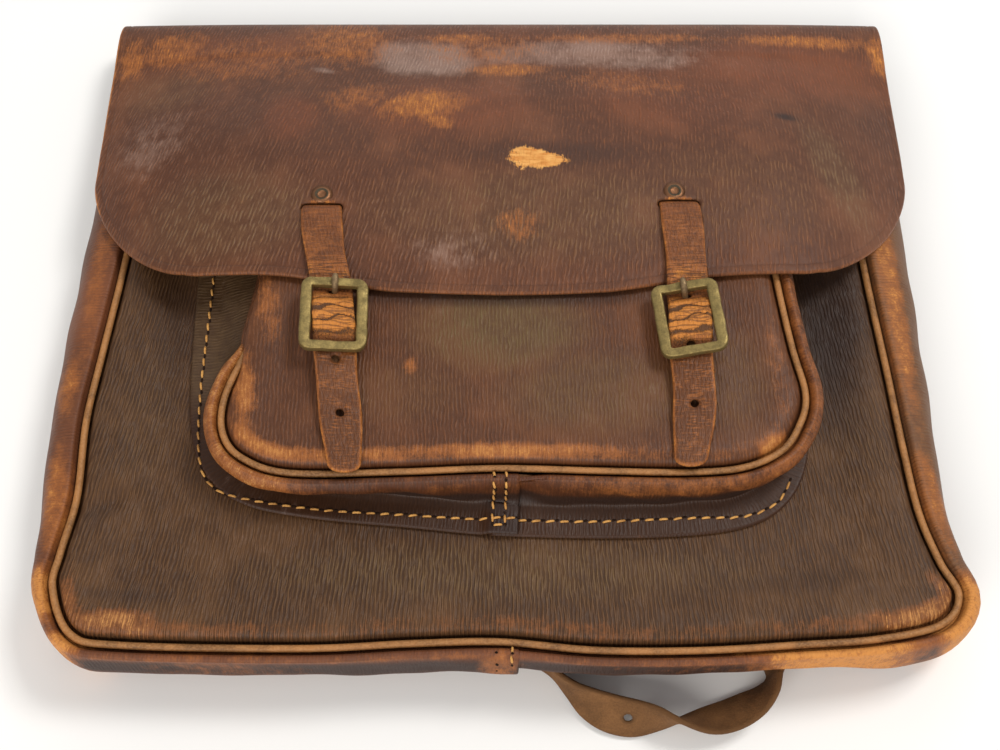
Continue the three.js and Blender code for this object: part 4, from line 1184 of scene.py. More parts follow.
def brass(name, bright, patina, rough=0.42, dull_mark=None):
    """Cast brass gone dull and greenish, brighter where it is rubbed. A mark may name where it is dull."""
    material, start, shader, place = new_material(name)
    blots = place.scaled(0.004).noise(4.0, 0.6)
    specks = place.scaled(0.0007).noise(2.0, 0.6)
    dull = (blots * 0.8 + specks * 0.4 - 0.1).rise(0.3, 0.72)
    if dull_mark:
        dull = (mark(start, dull_mark) + (dull - 0.5) * 0.4).rise(0.1, 0.9)
    colour = dull.choose(bright, patina)
    height = blots * 0.5 + specks * 0.5
    feed(start, shader, Base_Color=colour, Metallic=0.92 - dull * 0.3, Roughness=rough + dull * 0.2)
    feed(start, shader, Normal=bumped(start, height, 0.00025))
    return material


def waxed_thread(name, colour):
    """Twisted linen thread, soiled in places."""
    material, start, shader, place = new_material(name)
    blots = place.scaled(0.006).noise(3.0)
    fibres = place.scaled(0.0005).noise()
    shade = (blots * 0.7 + fibres * 0.5).rise(0.5, 0.85).choose(colour, linear(150, 98, 42))
    feed(start, shader, Base_Color=shade, Roughness=0.7, Normal=bumped(start, fibres, 0.0003))
    return material


def awl_hole(name):
    """Painted shade of a stitch hole, a little mottled."""
    material, start, shader, place = new_material(name)
    hole_mottle = place.scaled(0.001).noise().rise(0.3, 0.7)
    shade = hole_mottle.choose(linear(26, 15, 10), linear(44, 28, 18))
    feed(start, shader, Base_Color=shade, Roughness=0.9, Specular_IOR_Level=0.1)
    return material


def table_white(name, colour):
    """The even white of the table."""
    material, start, shader, place = new_material(name)
    shade = place.scaled(0.5).noise().choose(colour, tuple(part * 0.97 for part in colour))
    feed(start, shader, Base_Color=shade, Roughness=0.85, Specular_IOR_Level=0.15)
    return material


# Geometry Nodes
def new_tree(name, *inputs):
    """A geometry tree with named inputs, each with its kind and default, and their fields."""
    tree = bpy.data.node_groups.new(name, "GeometryNodeTree")
    for label, kind, default in (("Geometry", "Geometry", None), *inputs):
        entry = tree.interface.new_socket(name=label, in_out="INPUT", socket_type="NodeSocket" + kind)
        if default is not None:
            entry.default_value = default
    tree.interface.new_socket(name="Geometry", in_out="OUTPUT", socket_type="NodeSocketGeometry")
    group = tree.nodes.new("NodeGroupInput")
    return tree, {socket.name: Field(tree, socket) for socket in group.outputs if socket.name}


def end_tree(made, material):
    """Ends a tree: smooth, real and in its material."""
    smoothed = made.node("GeometryNodeSetShadeSmooth", None, {"Geometry": made})
    real = made.node("GeometryNodeRealizeInstances", None, {"Geometry": smoothed})
    coated = made.node("GeometryNodeSetMaterial", None, {"Geometry": real, "Material": material})
    made.node("NodeGroupOutput", None, {"Geometry": coated})


def cord_tree():
    """A round cord along a line."""
    tree, given = new_tree(
        "satchel_cord",
        ("Radius", "Float", PIPING_RADIUS * MM),
        ("Sides", "Int", 14),
        ("Material", "Material", None),
    )
    start = Field(tree)
    path = start.node("GeometryNodeMeshToCurve", None, {"Mesh": given["Geometry"]})
    ring = start.node(
        "GeometryNodeCurvePrimitiveCircle", None, {"Resolution": given["Sides"], "Radius": given["Radius"]})
    sockets = {"Curve": path, "Profile Curve": ring, "Fill Caps": True}
    end_tree(start.node("GeometryNodeCurveToMesh", None, sockets), given["Material"])
    return tree


def row_tree():
    """Copies of a thing a pitch apart along a line, upright on its surface and a little uneven."""
    tree, given = new_tree(
        "satchel_row",
        ("Thing", "Object", None),
        ("Pitch", "Float", 0.0058),
        ("Slant", "Float", 0.0),
        ("Unevenness", "Float", 0.05),
        ("Seed", "Int", 5),
        ("Material", "Material", None),
    )
    start = Field(tree)
    path = start.node("GeometryNodeMeshToCurve", None, {"Mesh": given["Geometry"]})
    paced_path = start.node(
        "GeometryNodeResampleCurve", {"mode": "LENGTH"}, {"Curve": path, "Length": given["Pitch"]})
    along, up = (
        start.node("GeometryNodeInputNamedAttribute", {"data_type": "FLOAT_VECTOR"}, {"Name": label})
        for label in ("along", "up")
    )
    facing = start.node(
        "FunctionNodeAxesToRotation",
        {"primary_axis": "Z", "secondary_axis": "X"},
        {"Primary Axis": up, "Secondary Axis": along},
    )
    stray = start.node(
        "FunctionNodeRandomValue",
        {"data_type": "FLOAT"},
        {"Min": -1.0, "Max": 1.0, "Seed": given["Seed"]},
    )
    angle = given["Slant"] + stray * given["Unevenness"]
    lean = start.node("FunctionNodeAxisAngleToRotation", None, {"Axis": (0.0, 0.0, 1.0), "Angle": angle})
    facing = start.node(
        "FunctionNodeRotateRotation", {"rotation_space": "LOCAL"}, {"Rotation": facing, "Rotate By": lean})
    thing = start.node("GeometryNodeObjectInfo", None, {"Object": given["Thing"]}, "Geometry")
    sockets = {"Points": paced_path, "Instance": thing, "Rotation": facing}
    end_tree(start.node("GeometryNodeInstanceOnPoints", None, sockets), given["Material"])
    return tree


def spot_tree():
    """A thing on each point, upright on its surface."""
    tree, given = new_tree("satchel_spots", ("Thing", "Object", None), ("Material", "Material", None))
    start = Field(tree)
    up = start.node("GeometryNodeInputNamedAttribute", {"data_type": "FLOAT_VECTOR"}, {"Name": "up"})
    facing = start.node("FunctionNodeAlignRotationToVector", {"axis": "Z"}, {"Vector": up})
    thing = start.node("GeometryNodeObjectInfo", None, {"Object": given["Thing"]}, "Geometry")
    points = start.node("GeometryNodeMeshToPoints", None, {"Mesh": given["Geometry"]})
    sockets = {"Points": points, "Instance": thing, "Rotation": facing}
    end_tree(start.node("GeometryNodeInstanceOnPoints", None, sockets), given["Material"])
    return tree


def guide(name, lines, ups):
    """Lines of points in millimetres as a mesh of edges, with the direction up from their surface."""
    mesh = bpy.data.meshes.new(name)
    edges, start = [], 0
    for line in lines:
        edges += [(start + n, start + n + 1) for n in range(len(line) - 1)]
        start += len(line)
    mesh.from_pydata((np.concatenate(lines) * MM).tolist(), edges, [])
    alongs = [np.gradient(line, axis=0) if len(line) > 1 else np.ones_like(line) for line in lines]
    for label, vectors in (("up", ups), ("along", alongs)):
        attribute = mesh.attributes.new(label, "FLOAT_VECTOR", "POINT")
        attribute.data.foreach_set("vector", np.concatenate(vectors).astype(np.float32).ravel())
    return mesh


def grown(name, tree, mesh, **values):
    """The plain mesh that a tree makes of a guide, as an object with no modifier."""
    piece = bpy.data.objects.new(name, mesh)
    bpy.context.scene.collection.objects.link(piece)
    modifier = piece.modifiers.new("Made", "NODES")
    modifier.node_group = tree
    for item in tree.interface.items_tree:
        if item.in_out == "INPUT" and item.name in values:
            modifier[item.identifier] = values[item.name]
    graph = bpy.context.evaluated_depsgraph_get()
    made = bpy.data.meshes.new_from_object(piece.evaluated_get(graph))
    piece.modifiers.remove(modifier)
    piece.data = made
    made.name = name
    bpy.data.meshes.remove(mesh)
    if not made.vertices:
        raise RuntimeError(f"{name} came out empty")
    return piece


def pattern(name, points, faces, **marks):
    """A thing to be copied by a tree. It is taken out of the scene by drop()."""
    thing = bpy.data.objects.new(name, new_mesh(name, points, faces, marks=marks))
    bpy.context.scene.collection.objects.link(thing)
    return thing


def drop(thing):
    mesh = thing.data
    bpy.data.objects.remove(thing)
    bpy.data.meshes.remove(mesh)


# Shapes of the body
def panel_sheet(rows, scale, allowance, thickness, height, seam_height, extra, cover):
    """A panel inside a seam: rings over its rolled edge, then an even field."""
    place = seam_at(rows, paced_rows(rows, SEAM_STEP))
    inset = np.concatenate([ROLLED[0][:1], ROLLED[0][ROLLED_ROWS]]) * scale
    up = np.concatenate([[-allowance / scale], ROLLED[1][ROLLED_ROWS]]) * scale
    over = COVER_REACH * cover(place["x"], place["y"])
    rings = np.stack([np.stack(beside(place, over - distance), 1) for distance in inset])
    closing = paced(np.stack([rings[-1, -1], rings[-1, 0]]), SEAM_STEP)[1:-1]
    flat, faces = fill(rings, [(-FAR, FAR, FIELD_STEP)], closing)
    points = np.column_stack([flat, height(*flat.T)])
    count = rings.shape[1]
    for n, lift in enumerate(up):
        ring = slice(n * count, (n + 1) * count)
        moved = extra(*flat[ring].T) * smooth(0.3, 1, n / (len(up) - 1))
        points[ring, 2] = seam_height(place["y"]) + lift + moved
    edge = distance_to(plan(place), *flat.T) + COVER_REACH * cover(*flat.T)
    return Sheet(points, faces, thickness / 2, flat, edge=edge)


def gusset_section(place):
    """Section of the gusset from the front seam to the back seam, as rows of out and up."""
    front = front_seam(place["y"])
    back = arch_at(place["x"], place["y"]) + LEATHER / 2
    tuck = tuck_at(place["x"], place["y"])
    bulge = place["bulge"]
    tip = mix(back, front, 0.5)
    slope = 1 + 0.8 * tuck / TUCK
    level = np.zeros_like(front)
    rows = [(level + SEAM_HALF + CLEARANCE, front - ALLOWANCE)]
    rows += [(level + ROLLED_EDGE["inset"][n], front + ROLLED_EDGE["up"][n]) for n in (0, 1, 3)]
    for angle in np.radians([90, 58, 28, 0]):
        rows.append((mix(5, bulge, math.cos(angle)), mix(tip, front + 2, math.sin(angle))))
    for angle in np.radians([30, 60, 90]):
        reach = max(0.0, math.cos(angle)) ** slope
        rows.append((mix(4.5 - tuck, bulge, reach), mix(tip, back, math.sin(angle) ** slope)))
    rows.append((PLAIN_EDGE["inset"][1] - tuck, back + PLAIN_EDGE["up"][1]))
    rows.append((SEAM_HALF + 2 * CLEARANCE - tuck, back + ALLOWANCE - 1))
    return np.array(rows)


def grid_flat(points):
    """Flat places of a grid: along its stations and across its section."""
    down = np.concatenate([[0], np.cumsum(np.linalg.norm(np.diff(points, axis=0), axis=-1).mean(1))])
    return np.stack(np.meshgrid(arc(points[len(points) // 2]), down), -1)


def swell(points, amount, size, seed, fade):
    """Moves a grid's points in and out a little, by shares across its section."""
    uneven = ripple(points[..., 0] + points[..., 2], points[..., 1] - points[..., 2], size, seed)
    return points + outward(points) * (amount * uneven * fade[:, None])[..., None]


def gusset_grid(k):
    """Points down the middle of a gusset: sections across, stations along."""
    place = seam_at(BODY_SEAM, k)
    section = gusset_section(place)
    x, y = beside(place, section[:, 0])
    rows = np.stack([x, y, section[:, 1]], -1)
    at = np.linspace(0, len(rows) - 1, GUSSET_ROWS)
    fade = smooth(4, 6.5, at) * (1 - smooth(8.5, 10.5, at))
    return swell(curve(rows, at), amount=0.4, size=30, seed=11, fade=fade)


def outward(points):
    """The direction out of a grid's grain side."""
    out = np.cross(np.gradient(points, axis=0), np.gradient(points, axis=1))
    return out / np.maximum(np.linalg.norm(out, axis=-1, keepdims=True), 1e-9)


def half_rows(rows, lap, side):
    """Row numbers along one half of a gusset. The left half's crowd at its cut end."""
    k = paced_rows(rows, SEAM_STEP)
    if side == "left":
        return np.concatenate([k[k < lap["end"] - 0.1], lap["end"] - np.array([0.05, 0.02, 0.008, 0])])
    return np.concatenate([[lap["start"]], k[k > lap["start"] + 0.03]])


def lap_steps():
    """How far each half of the gusset is moved out or in at the lap, at the rows of its section."""
    return (LEATHER / 2 + 0.1) * (0.2 + 0.8 * smooth(26, 42, np.arange(GUSSET_ROWS)))


def gusset_sheet(side):
    """One half of the gusset. The halves lap at the middle of the bottom, the left one outside."""
    k = half_rows(BODY_SEAM, BODY_LAP, side)
    points = gusset_grid(k)
    flat = grid_flat(points)
    edge = None
    if side == "left":
        edge = np.tile(flat[0, -1, 0] - flat[0, :, 0], (len(points), 1))
        moved = smooth(BODY_LAP["start"] - 0.4, BODY_LAP["start"], k)
    else:
        moved = smooth(BODY_LAP["end"], BODY_LAP["level"], k) - 1
    points = points + outward(points) * (lap_steps()[:, None] * moved)[..., None]
    return grid_sheet(points[::-1], LEATHER, flat[::-1], edge)


def pocket_gusset_rows(k):
    """Section of the pocket's gusset from its seam to the edge of its flange, at stations."""
    top = seam_at(POCKET_LINE, k)
    foot = seam_at(FOOT_LINE, k)
    covered = pocket_cover(top["x"], top["y"])
    seam = pocket_seam_height(top["y"])

    def beneath(out, drop_by):
        x, y = beside(top, out - 3 * covered)
        return np.stack([x, y, seam + drop_by - 5.5 * covered], -1)

    def lying(out, lift):
        x, y = beside(foot, out)
        return np.stack([x, y, on_panel(x, y) + lift], -1)

    rows = [beneath(SEAM_HALF + 2 * CLEARANCE, -POCKET_ALLOWANCE)]
    for n in (0, 1, 3):
        rows.append(beneath(ROLLED_EDGE["inset"][n] * POCKET_SCALE, ROLLED_EDGE["up"][n] * POCKET_SCALE))
    rows += [beneath(4.8, 1.4), beneath(6.5, -2.5)]
    root = lying(1.5, 2.2)
    return np.stack([*rows, mix(rows[-1], root, 0.55), root, lying(5, 0.4), lying(10, 0), lying(FLANGE, 0)])


def flange_share(at):
    """1 on the flange and 0 on the gusset's wall, at section numbers."""
    return smooth(6.2, 7.2, at)


def pocket_gusset_sheet(side):
    """One half of the pocket's gusset. At the lap the left one lies outside and over the flange."""
    k = half_rows(POCKET_LINE, POCKET_LAP, side)
    rows = pocket_gusset_rows(k)
    last = len(rows) - 1
    at = np.concatenate([np.linspace(0, last - 1, 52), np.linspace(last - 1, last - 0.3, 5)[1:]])
    at = np.concatenate([at, last - np.array([0.18, 0.1, 0.04, 0.012, 0])])
    fade = smooth(4, 5.5, at) * (1 - smooth(6.6, 7.6, at))
    points = swell(curve(rows, at), amount=0.6, size=24, seed=21, fade=fade)
    flat = grid_flat(points)
    edge = np.tile(flat[-1, 0, 1] - flat[:, :1, 1], (1, len(k)))
    if side == "left":
        edge = np.minimum(edge, flat[0, -1, 0] - flat[:, :, 0])
        over = POCKET_LIFT * smooth(POCKET_LAP["start"] - 0.1, POCKET_LAP["start"] + 0.04, k)
        moved = over * flange_share(at)[:, None]
    else:
        under = (POCKET_LEATHER + 0.1) * (1 - smooth(POCKET_LAP["end"], POCKET_LAP["level"], k))
        across = (0.35 + 0.65 * smooth(2.5, 4.5, at)) * (1 - flange_share(at))
        moved = -under * across[:, None]
    points = points + outward(points) * moved[..., None]
    return grid_sheet(points[::-1], POCKET_LEATHER, flat[::-1], edge[::-1])


# Shapes of the flap
def back_line(k):
    """The back's edge at rows of the body's seam, on the flat plane of back and flap."""
    place = seam_at(BODY_SEAM, k)
    x, y = beside(place, -tuck_at(place["x"], place["y"]) - SEAM_HALF)
    return np.stack([x, FOLD_END + BACK_TOP - y], 1)


def flap_outline():
    """The outline of back and flap on one flat plane: across, and along from the flap's edge."""
    turn = FLAP_HALF - CORNER["wide"]
    across = np.linspace(-turn, turn, 120)
    lower = np.stack([across, edge_at(across)], 1)
    angle = np.radians(np.linspace(0, 90, 40))
    corner_x = turn + CORNER["wide"] * np.maximum(0, np.cos(angle)) ** CORNER["round"]
    corner_y = edge_at(np.array(turn)) + CORNER["tall"] * (1 - np.sin(angle) ** CORNER["round"])
    corner = np.stack([corner_x, corner_y], 1)[::-1]
    side_y = np.linspace(corner_y[0], FLAP_TOP, 20)[1:]
    side = np.stack([mix(FLAP_HALF, FOLD_HALF, smooth(60, 150, side_y)), side_y], 1)
    k = np.linspace(1, len(FOLD["y"]) - 2, 60)[1:]
    fold = np.stack([curve(FOLD["half"], k), FLAP_TOP + np.interp(k, FOLD_ROWS, FOLD_LENGTHS)], 1)
    right = np.concatenate([corner[1:], side, fold])
    left = right[::-1] * (-1, 1)
    back_right = back_line(np.linspace(len(BODY_SEAM["x"]) - 1, BOTTOM_ROW, 160))
    back_left = back_line(np.linspace(0, BOTTOM_ROW, 120))[::-1]
    loop = np.concatenate([lower, right, back_right, back_left[1:], left])
    return paced(closed(loop), FIELD_STEP)[:-1]


def fold_lengths():
    """Row numbers of the fold's table, with how far each lies along the fold."""
    k = np.linspace(1, len(FOLD["y"]) - 2, 200)
    return k, arc(np.stack([curve(FOLD["y"], k), curve(FOLD["z"], k)], 1))


FOLD_ROWS, FOLD_LENGTHS = fold_lengths()
FOLD_END = FLAP_TOP + FOLD_LENGTHS[-1]


def flap_lift(x, v):
    """The middle of back and flap at flat places."""
    row = between(FOLD, np.interp(v - FLAP_TOP, FOLD_LENGTHS, FOLD_ROWS))
    fold_z = mix(row["side"], row["z"], crown(x / row["half"] * FLAP_HALF))
    back_y = BACK_TOP - (v - FOLD_END)
    on_flap, on_back = v <= FLAP_TOP, v >= FOLD_END
    y = np.where(on_flap, v, np.where(on_back, back_y, row["y"]))
    z = np.where(on_flap, flap_height(x, np.minimum(v, FLAP_TOP)), fold_z)
    z = np.where(on_back, back_height(x, back_y), z)
    shown = 1 - smooth(130, 160, v)
    z = z + shown * (dents(FLAP_DENTS, x, v) + 0.5 * ripple(x, v, 52, 8))
    for closing in CLOSING.values():
        lip_x, lip_y = mix(closing["rivet"][0], closing["slot"][0], 0.6), closing["slot"][1] + 2.2
        z = z + bell(x - lip_x, 9, 4) * bell(v - lip_y, 1.7) * on_flap
    return np.stack([x, y, z], -1)


def flap_sheet():
    """Back and flap: their wall with the straps' slots, where it is worn and stained, and where sheen is
    painted on.
    """
    outline = flap_outline()
    size = (SLOT["wide"], SLOT["long"], SLOT["corner"])
    holes = [box_loop(*closing["slot"], *size) for closing in CLOSING.values()]
    bands = [(-FAR, FOLD_END + 12, FIELD_STEP), (FOLD_END + 14, FAR, BACK_STEP)]
    share = 1 - 0.75 * smooth(FOLD_END - 20, FOLD_END, outline[:, 1])
    sheet = cut_sheet(outline, LEATHER, bands, flap_lift, holes, FLAP_INSETS, share)
    x, v = sheet.flat.T
    edge = distance_to(closed(outline), x, v)
    groove = 0.2 * bell(edge - CREASE_INSET, 0.45) * (v < FOLD_END)
    sheet.points -= sheet.normals() * groove[:, None]
    right = x - TORN["x"]
    up = v - TORN["y"] + TORN["lean"] * right
    lens = np.hypot(right / TORN["wide"], up / (TORN["tall"] * (1 - TORN["narrows"] * right)))
    sheet.marks.update(
        edge=edge,
        wear=np.maximum(spots(FLAP_WORN, x, v), 0.8 * (1 - smooth(0.4, 2.2, edge)) * (x < -160) * (v > 40)),
        red=spots(FLAP_RED, x, v),
        # Painted sheen and highlight, with pale scuffs
        grey=spots(FLAP_SHEEN_AND_SCUFFS, x, v),
        olive=spots(FLAP_OLIVE, x, v),
        dark=spots(FLAP_DARK, x, v),
        torn=np.clip(1 - 0.5 * lens, 0, 1),
    )
    sheet.flat[:, 0] *= 1 + FLAP_FAN * (np.minimum(v, FLAP_TOP) - 60)
    return sheet


# Shapes of the fastenings
def closing_line(closing):
    """The middle of a closing strap from its riveted end to its tip: y, z and how much it is rolled."""
    buckle, slot, end = closing["buckle"], closing["slot"], closing["end"]
    above = LEATHER / 2 + CLEARANCE + STRAP_LEATHER / 2
    half = BUCKLE["long"] / 2
    under = BUCKLE["height"] - BUCKLE["thick"] - CLEARANCE - STRAP_LEATHER / 2
    over = BAR["height"] + BAR["radius"] + CLEARANCE + TAB["leather"] + 0.6 + STRAP_LEATHER / 2
    lying = pocket_level(buckle["x"])
    lying += (POCKET_LEATHER + STRAP_LEATHER) / 2 + CLEARANCE

    def flap_at(y):
        return float(flap_lift(np.array([float(slot[0])]), np.array([float(y)]))[0, 2])

    rows = table(
        "y z",
        (46, flap_at(46) - above - 0.9),
        (slot[1] + 4.6, flap_at(slot[1] + 8) - above - 0.9),
        (slot[1] + 2.2, flap_at(slot[1]) - above * 0.9),
        (slot[1], flap_at(slot[1])),
        (slot[1] - 2.2, flap_at(slot[1]) + above * 0.75),
        (slot[1] - 4.4, flap_at(slot[1] - 4) + above),
        (12, flap_at(12) + above),
        (-6, flap_at(-6) + above + 0.9),
        (-10, flap_at(-10) + above + 1.1),
        (buckle["y"] + half + 1, under),
        (buckle["y"] + half - 3, under + 0.2),
        (buckle["y"] + 6, mix(under, over, 0.68)),
        (buckle["y"], over),
        (buckle["y"] - 6, mix(under, over, 0.68)),
        (buckle["y"] - half + 3, under + 0.2),
        (buckle["y"] - half - 2, under),
        (buckle["y"] - half - 11, max(under - 0.6, lying)),
        (mix(buckle["y"] - half, end, 0.56), lying + 1.2),
        (end + 14, lying + 0.6),
        (end, lying + 0.5),
    )
    made = between(rows, np.linspace(0, len(rows["y"]) - 1, 400))
    run = arc(np.stack([made["y"], made["z"]], 1))
    held = smooth(buckle["y"] + half + 4, buckle["y"] + half - 0.5, made["y"])
    roll = math.tan(math.radians(buckle["roll"])) * held * smooth(end, buckle["y"] - half - 8, made["y"])
    return run, made["y"], made["z"], roll


def closing_sheet(closing):
    """A closing strap: its wall with its holes, where it is worn and cracked, and where shade is painted in
    its folds.
    """
    run, line_y, line_z, roll = closing_line(closing)
    buckle, end = closing["buckle"], closing["end"]

    def width_at(y):
        return mix(STRAP_TIP_WIDTH, STRAP_WIDTH, smooth(-4, STRAP_TAPER, y - end))

    def folds(a, y):
        wave = np.sin(2 * np.pi * (y - 0.1 * a + 1.1 * ripple(a, y, 12, 6)) / FOLD_PITCH)
        return bell(y - buckle["y"], 11, 4) * wave

    def lift(a, w):
        y = np.interp(-w, run, line_y)
        x = along(closing["drift"], "y", "x", y)
        z = np.interp(-w, run, line_z) - np.interp(-w, run, roll) * a
        crowned = 0.0055 * a * a * smooth(-8, 4, y - closing["slot"][1] + 8)
        return np.stack([x + a, y, z - crowned + 0.4 * folds(a, y)], -1)

    def down(y):
        """The flat place along the strap of a place in y."""
        return -float(np.interp(-y, -line_y, run))

    s = np.linspace(STRAP_CORNER, run[-1] - 5, 120)
    side = np.stack([width_at(np.interp(s, run, line_y)) / 2, -s], 1)
    side[:, 0] += 0.25 * ripple(s, s * 0, 21, 4)
    corner = (circle(np.linspace(np.pi / 2, 0, 8)[:-1]) - (1, 0)) * STRAP_CORNER + side[0]
    right = np.concatenate([corner, side])
    angle = np.linspace(0, np.pi, 16)[1:-1]
    tip = np.stack([right[-1, 0] * np.cos(angle), right[-1, 1] - 4.6 * np.sin(angle) ** 0.8], 1)
    left = right[::-1] * (-1, 1)
    outline = paced(closed(np.concatenate([left, right, tip])[::-1]), STRAP_STEP)[:-1]
    holes = [ring_loop(0, down(y), HOLE_RADIUS) for y in closing["holes"]]
    holes.append(ring_loop(0, down(buckle["y"] + BUCKLE["long"] / 2 - 3.0), PRONG_HOLE_RADIUS))
    bar = down(buckle["y"])
    fine = (bar - 15, bar + 15, STRAP_STEP / 2)
    bands = [(-FAR, bar - 15.6, STRAP_STEP), fine, (bar + 15.6, FAR, STRAP_STEP)]
    sheet = cut_sheet(outline, STRAP_LEATHER, bands, lift, holes)

    y = sheet.points[:, 1]
    past = y - buckle["y"]
    hump = bell(past, 12, 4)
    near = smooth(11, 14, past) * (1 - smooth(22, 40, past))
    above = smooth(12, 26, past)
    margin = 1 - smooth(0.2, 1.9, distance_to(closed(outline), *sheet.flat.T))
    tip_wear = 1 - smooth(0, 16, y - end)
    # Painted shade in the troughs of the folds over the bar
    fold_shade = 0.8 * smooth(-0.4, 0.8, -folds(sheet.flat[:, 0], y))
    sheet.marks.update(
        wear=np.maximum.reduce([0.62 * margin, 0.95 * hump, 0.3 * tip_wear, 0.26 * above, 0.6 * near]),
        red=0.35 * above,
        dark=0.35 * (1 - hump) * (1 - above) + 0.2,
        split=np.maximum.reduce([0.75 * near, 0.35 * above, 0.6 * hump]),
        # Painted shade in the folds, and over the hump's end towards the tip
        fold=hump * np.maximum(fold_shade, 0.7 * smooth(-6, -10, past)),
    )
    return sheet


def in_buckle(buckle, points):
    """Points in a buckle's own axes about its bar, put in their place on the bag."""
    turn, roll = math.radians(buckle["turn"]), math.radians(buckle["roll"])
    about_z = np.array(
        [[math.cos(turn), -math.sin(turn), 0], [math.sin(turn), math.cos(turn), 0], [0, 0, 1]])
    about_y = np.array(
        [[math.cos(roll), 0, math.sin(roll)], [0, 1, 0], [-math.sin(roll), 0, math.cos(roll)]])
    return np.asarray(points) @ (about_z @ about_y).T + (buckle["x"], buckle["y"], BAR["height"])


def buckle_frame(seed):
    """A cast frame with its middle bar, in the buckle's own axes about the bar."""
    loop = box_loop(0, 0, BUCKLE["wide"], BUCKLE["long"], BUCKLE["corner"], 1.1)
    rise = BUCKLE["height"] - BAR["height"]
    line = np.column_stack([loop, np.full(len(loop), rise)])
    line[:, :2] *= 1 + 0.006 * ripple(*loop.T, 9, seed)[:, None]
    far_x, far_y = (np.abs(loop) / (BUCKLE["wide"] / 2, BUCKLE["long"] / 2)).T
    radius = BUCKLE_STRIP["half"] * (1 + 0.05 * ripple(loop[:, 1], loop[:, 0], 7, seed + 1))
    radius *= mix(1, BUCKLE_STRIP["slim"], smooth(0.78, 0.97, far_y))
    radius *= 1 + 0.13 * smooth(0.72, 0.95, far_x) * smooth(0.8, 0.96, far_y)
    ring = tube(line, radius, 24, None, BUCKLE_STRIP["squash"], True, BUCKLE_STRIP["square"])
    w = BUCKLE["wide"] / 2
    bar_rows = np.array([[-w, 0, rise], [-w + 2.6, 0, 0.1], [0, 0, 0], [w - 2.6, 0, 0.1], [w, 0, rise]])
    bar = tube(curve(bar_rows, np.linspace(0, 4, 30)), BAR["radius"], 14, (0.0, 1.0, 0.0))
    return merged(ring, bar)


def buckle_prong():
    """An eye round the bar, under the strap, up through its hole and over the top of the frame."""
    eye_radius = BAR["radius"] + 0.3 + PRONG_RADIUS * 0.8
    angle = np.linspace(0, 2 * np.pi, 33)[:-1]
    eye_line = np.column_stack([angle * 0, circle(angle, eye_radius)])
    eye = tube(eye_line, PRONG_RADIUS * 0.8, 10, (1.0, 0.0, 0.0), joined=True)
    far = BUCKLE["long"] / 2
    rest = BUCKLE["height"] - BAR["height"] + BUCKLE["thick"] * 0.86 + PRONG_RADIUS + 0.1
    rows = np.array([
        [0, 2.6, -1.2], [0, 6.5, -2.2], [0, 10.0, -1.2], [0, 11.4, 2.2], [0, 12.4, rest - 1.4],
        [0, far, rest], [0, far + 2.8, rest - 0.7],
    ])
    k = np.linspace(0, len(rows) - 1, 48)
    radius = PRONG_RADIUS * (1 + 0.12 * np.sin(k * 1.7)) * np.sqrt(np.clip((6.15 - k) / 0.5, 0.03, 1))
    shank = tube(curve(rows, k), radius, 12, (1.0, 0.0, 0.0))
    return merged(eye, shank)


def tab_sheet(buckle):
    """The leather that holds the bar: round it, and back along the pocket under the strap."""
    middle = BAR["radius"] + CLEARANCE + TAB["leather"] / 2
    base = pocket_level(0.0) + POCKET_LEATHER / 2
    base += CLEARANCE + TAB["lift"] - BAR["height"]
    angle = np.radians(np.linspace(108, -108, 24))
    bend = circle(angle, middle)
    upper = np.array([[-TAB["tail"], base + 1.5 * TAB["leather"]], [-11, base + 1.5 * TAB["leather"]]])
    lower = np.array([[-10, base + 0.5 * TAB["leather"]], [-TAB["tail"], base + 0.5 * TAB["leather"]]])
    line = paced(np.concatenate([upper, bend, lower]), 1.0)
    run = arc(line)
    outline = box_loop(0, -run[-1] / 2, TAB["width"], run[-1], 2.0, 1.2)
    front = float(run[np.argmax(line[:, 0])])
    holes = [box_loop(0, -front, 2 * (PRONG_RADIUS + CLEARANCE + 0.2), 9.0, 1.0, 0.8)]

    def lift(a, w):
        y, z = (np.interp(-w, run, line[:, n]) for n in (0, 1))
        return in_buckle(buckle, np.stack([a, y, z], -1))

    return cut_sheet(outline, TAB["leather"], [(-FAR, FAR, STRAP_STEP)], lift, holes, EDGE_INSETS[:4])


def rivet_profile(grip):
    """Half the section of a tubular rivet: ring head, shank and the burr behind."""
    head = [(0.02, 0.15), (1.2, 0.12), (1.7, 0.25), (2.1, 0.75), (2.7, 1.05), (3.3, 0.8)]
    rim = [(RIVET_RADIUS, 0.35), (RIVET_RADIUS - 0.15, 0.0), (SHANK_RADIUS, 0.0), (SHANK_RADIUS, -grip)]
    burr = [(BURR_RADIUS, -grip), (BURR_RADIUS, -grip - 0.7), (2.6, -grip - 0.9), (0.02, -grip - 0.9)]
    return np.array(head + rim + burr)


def spun(profile, sides=28):
    """A profile of radius and height spun about the upright axis."""
    angle = round_angles(sides)
    rings = [np.column_stack([circle(angle, r), np.full(sides, z)]) for r, z in profile]
    faces = [(a, d, c, b) for a, b, c, d in band_faces(len(profile), sides)]
    faces.append(tuple(range(sides)))
    faces.append(tuple(reversed(range((len(profile) - 1) * sides, len(profile) * sides))))
    return np.concatenate(rings), faces


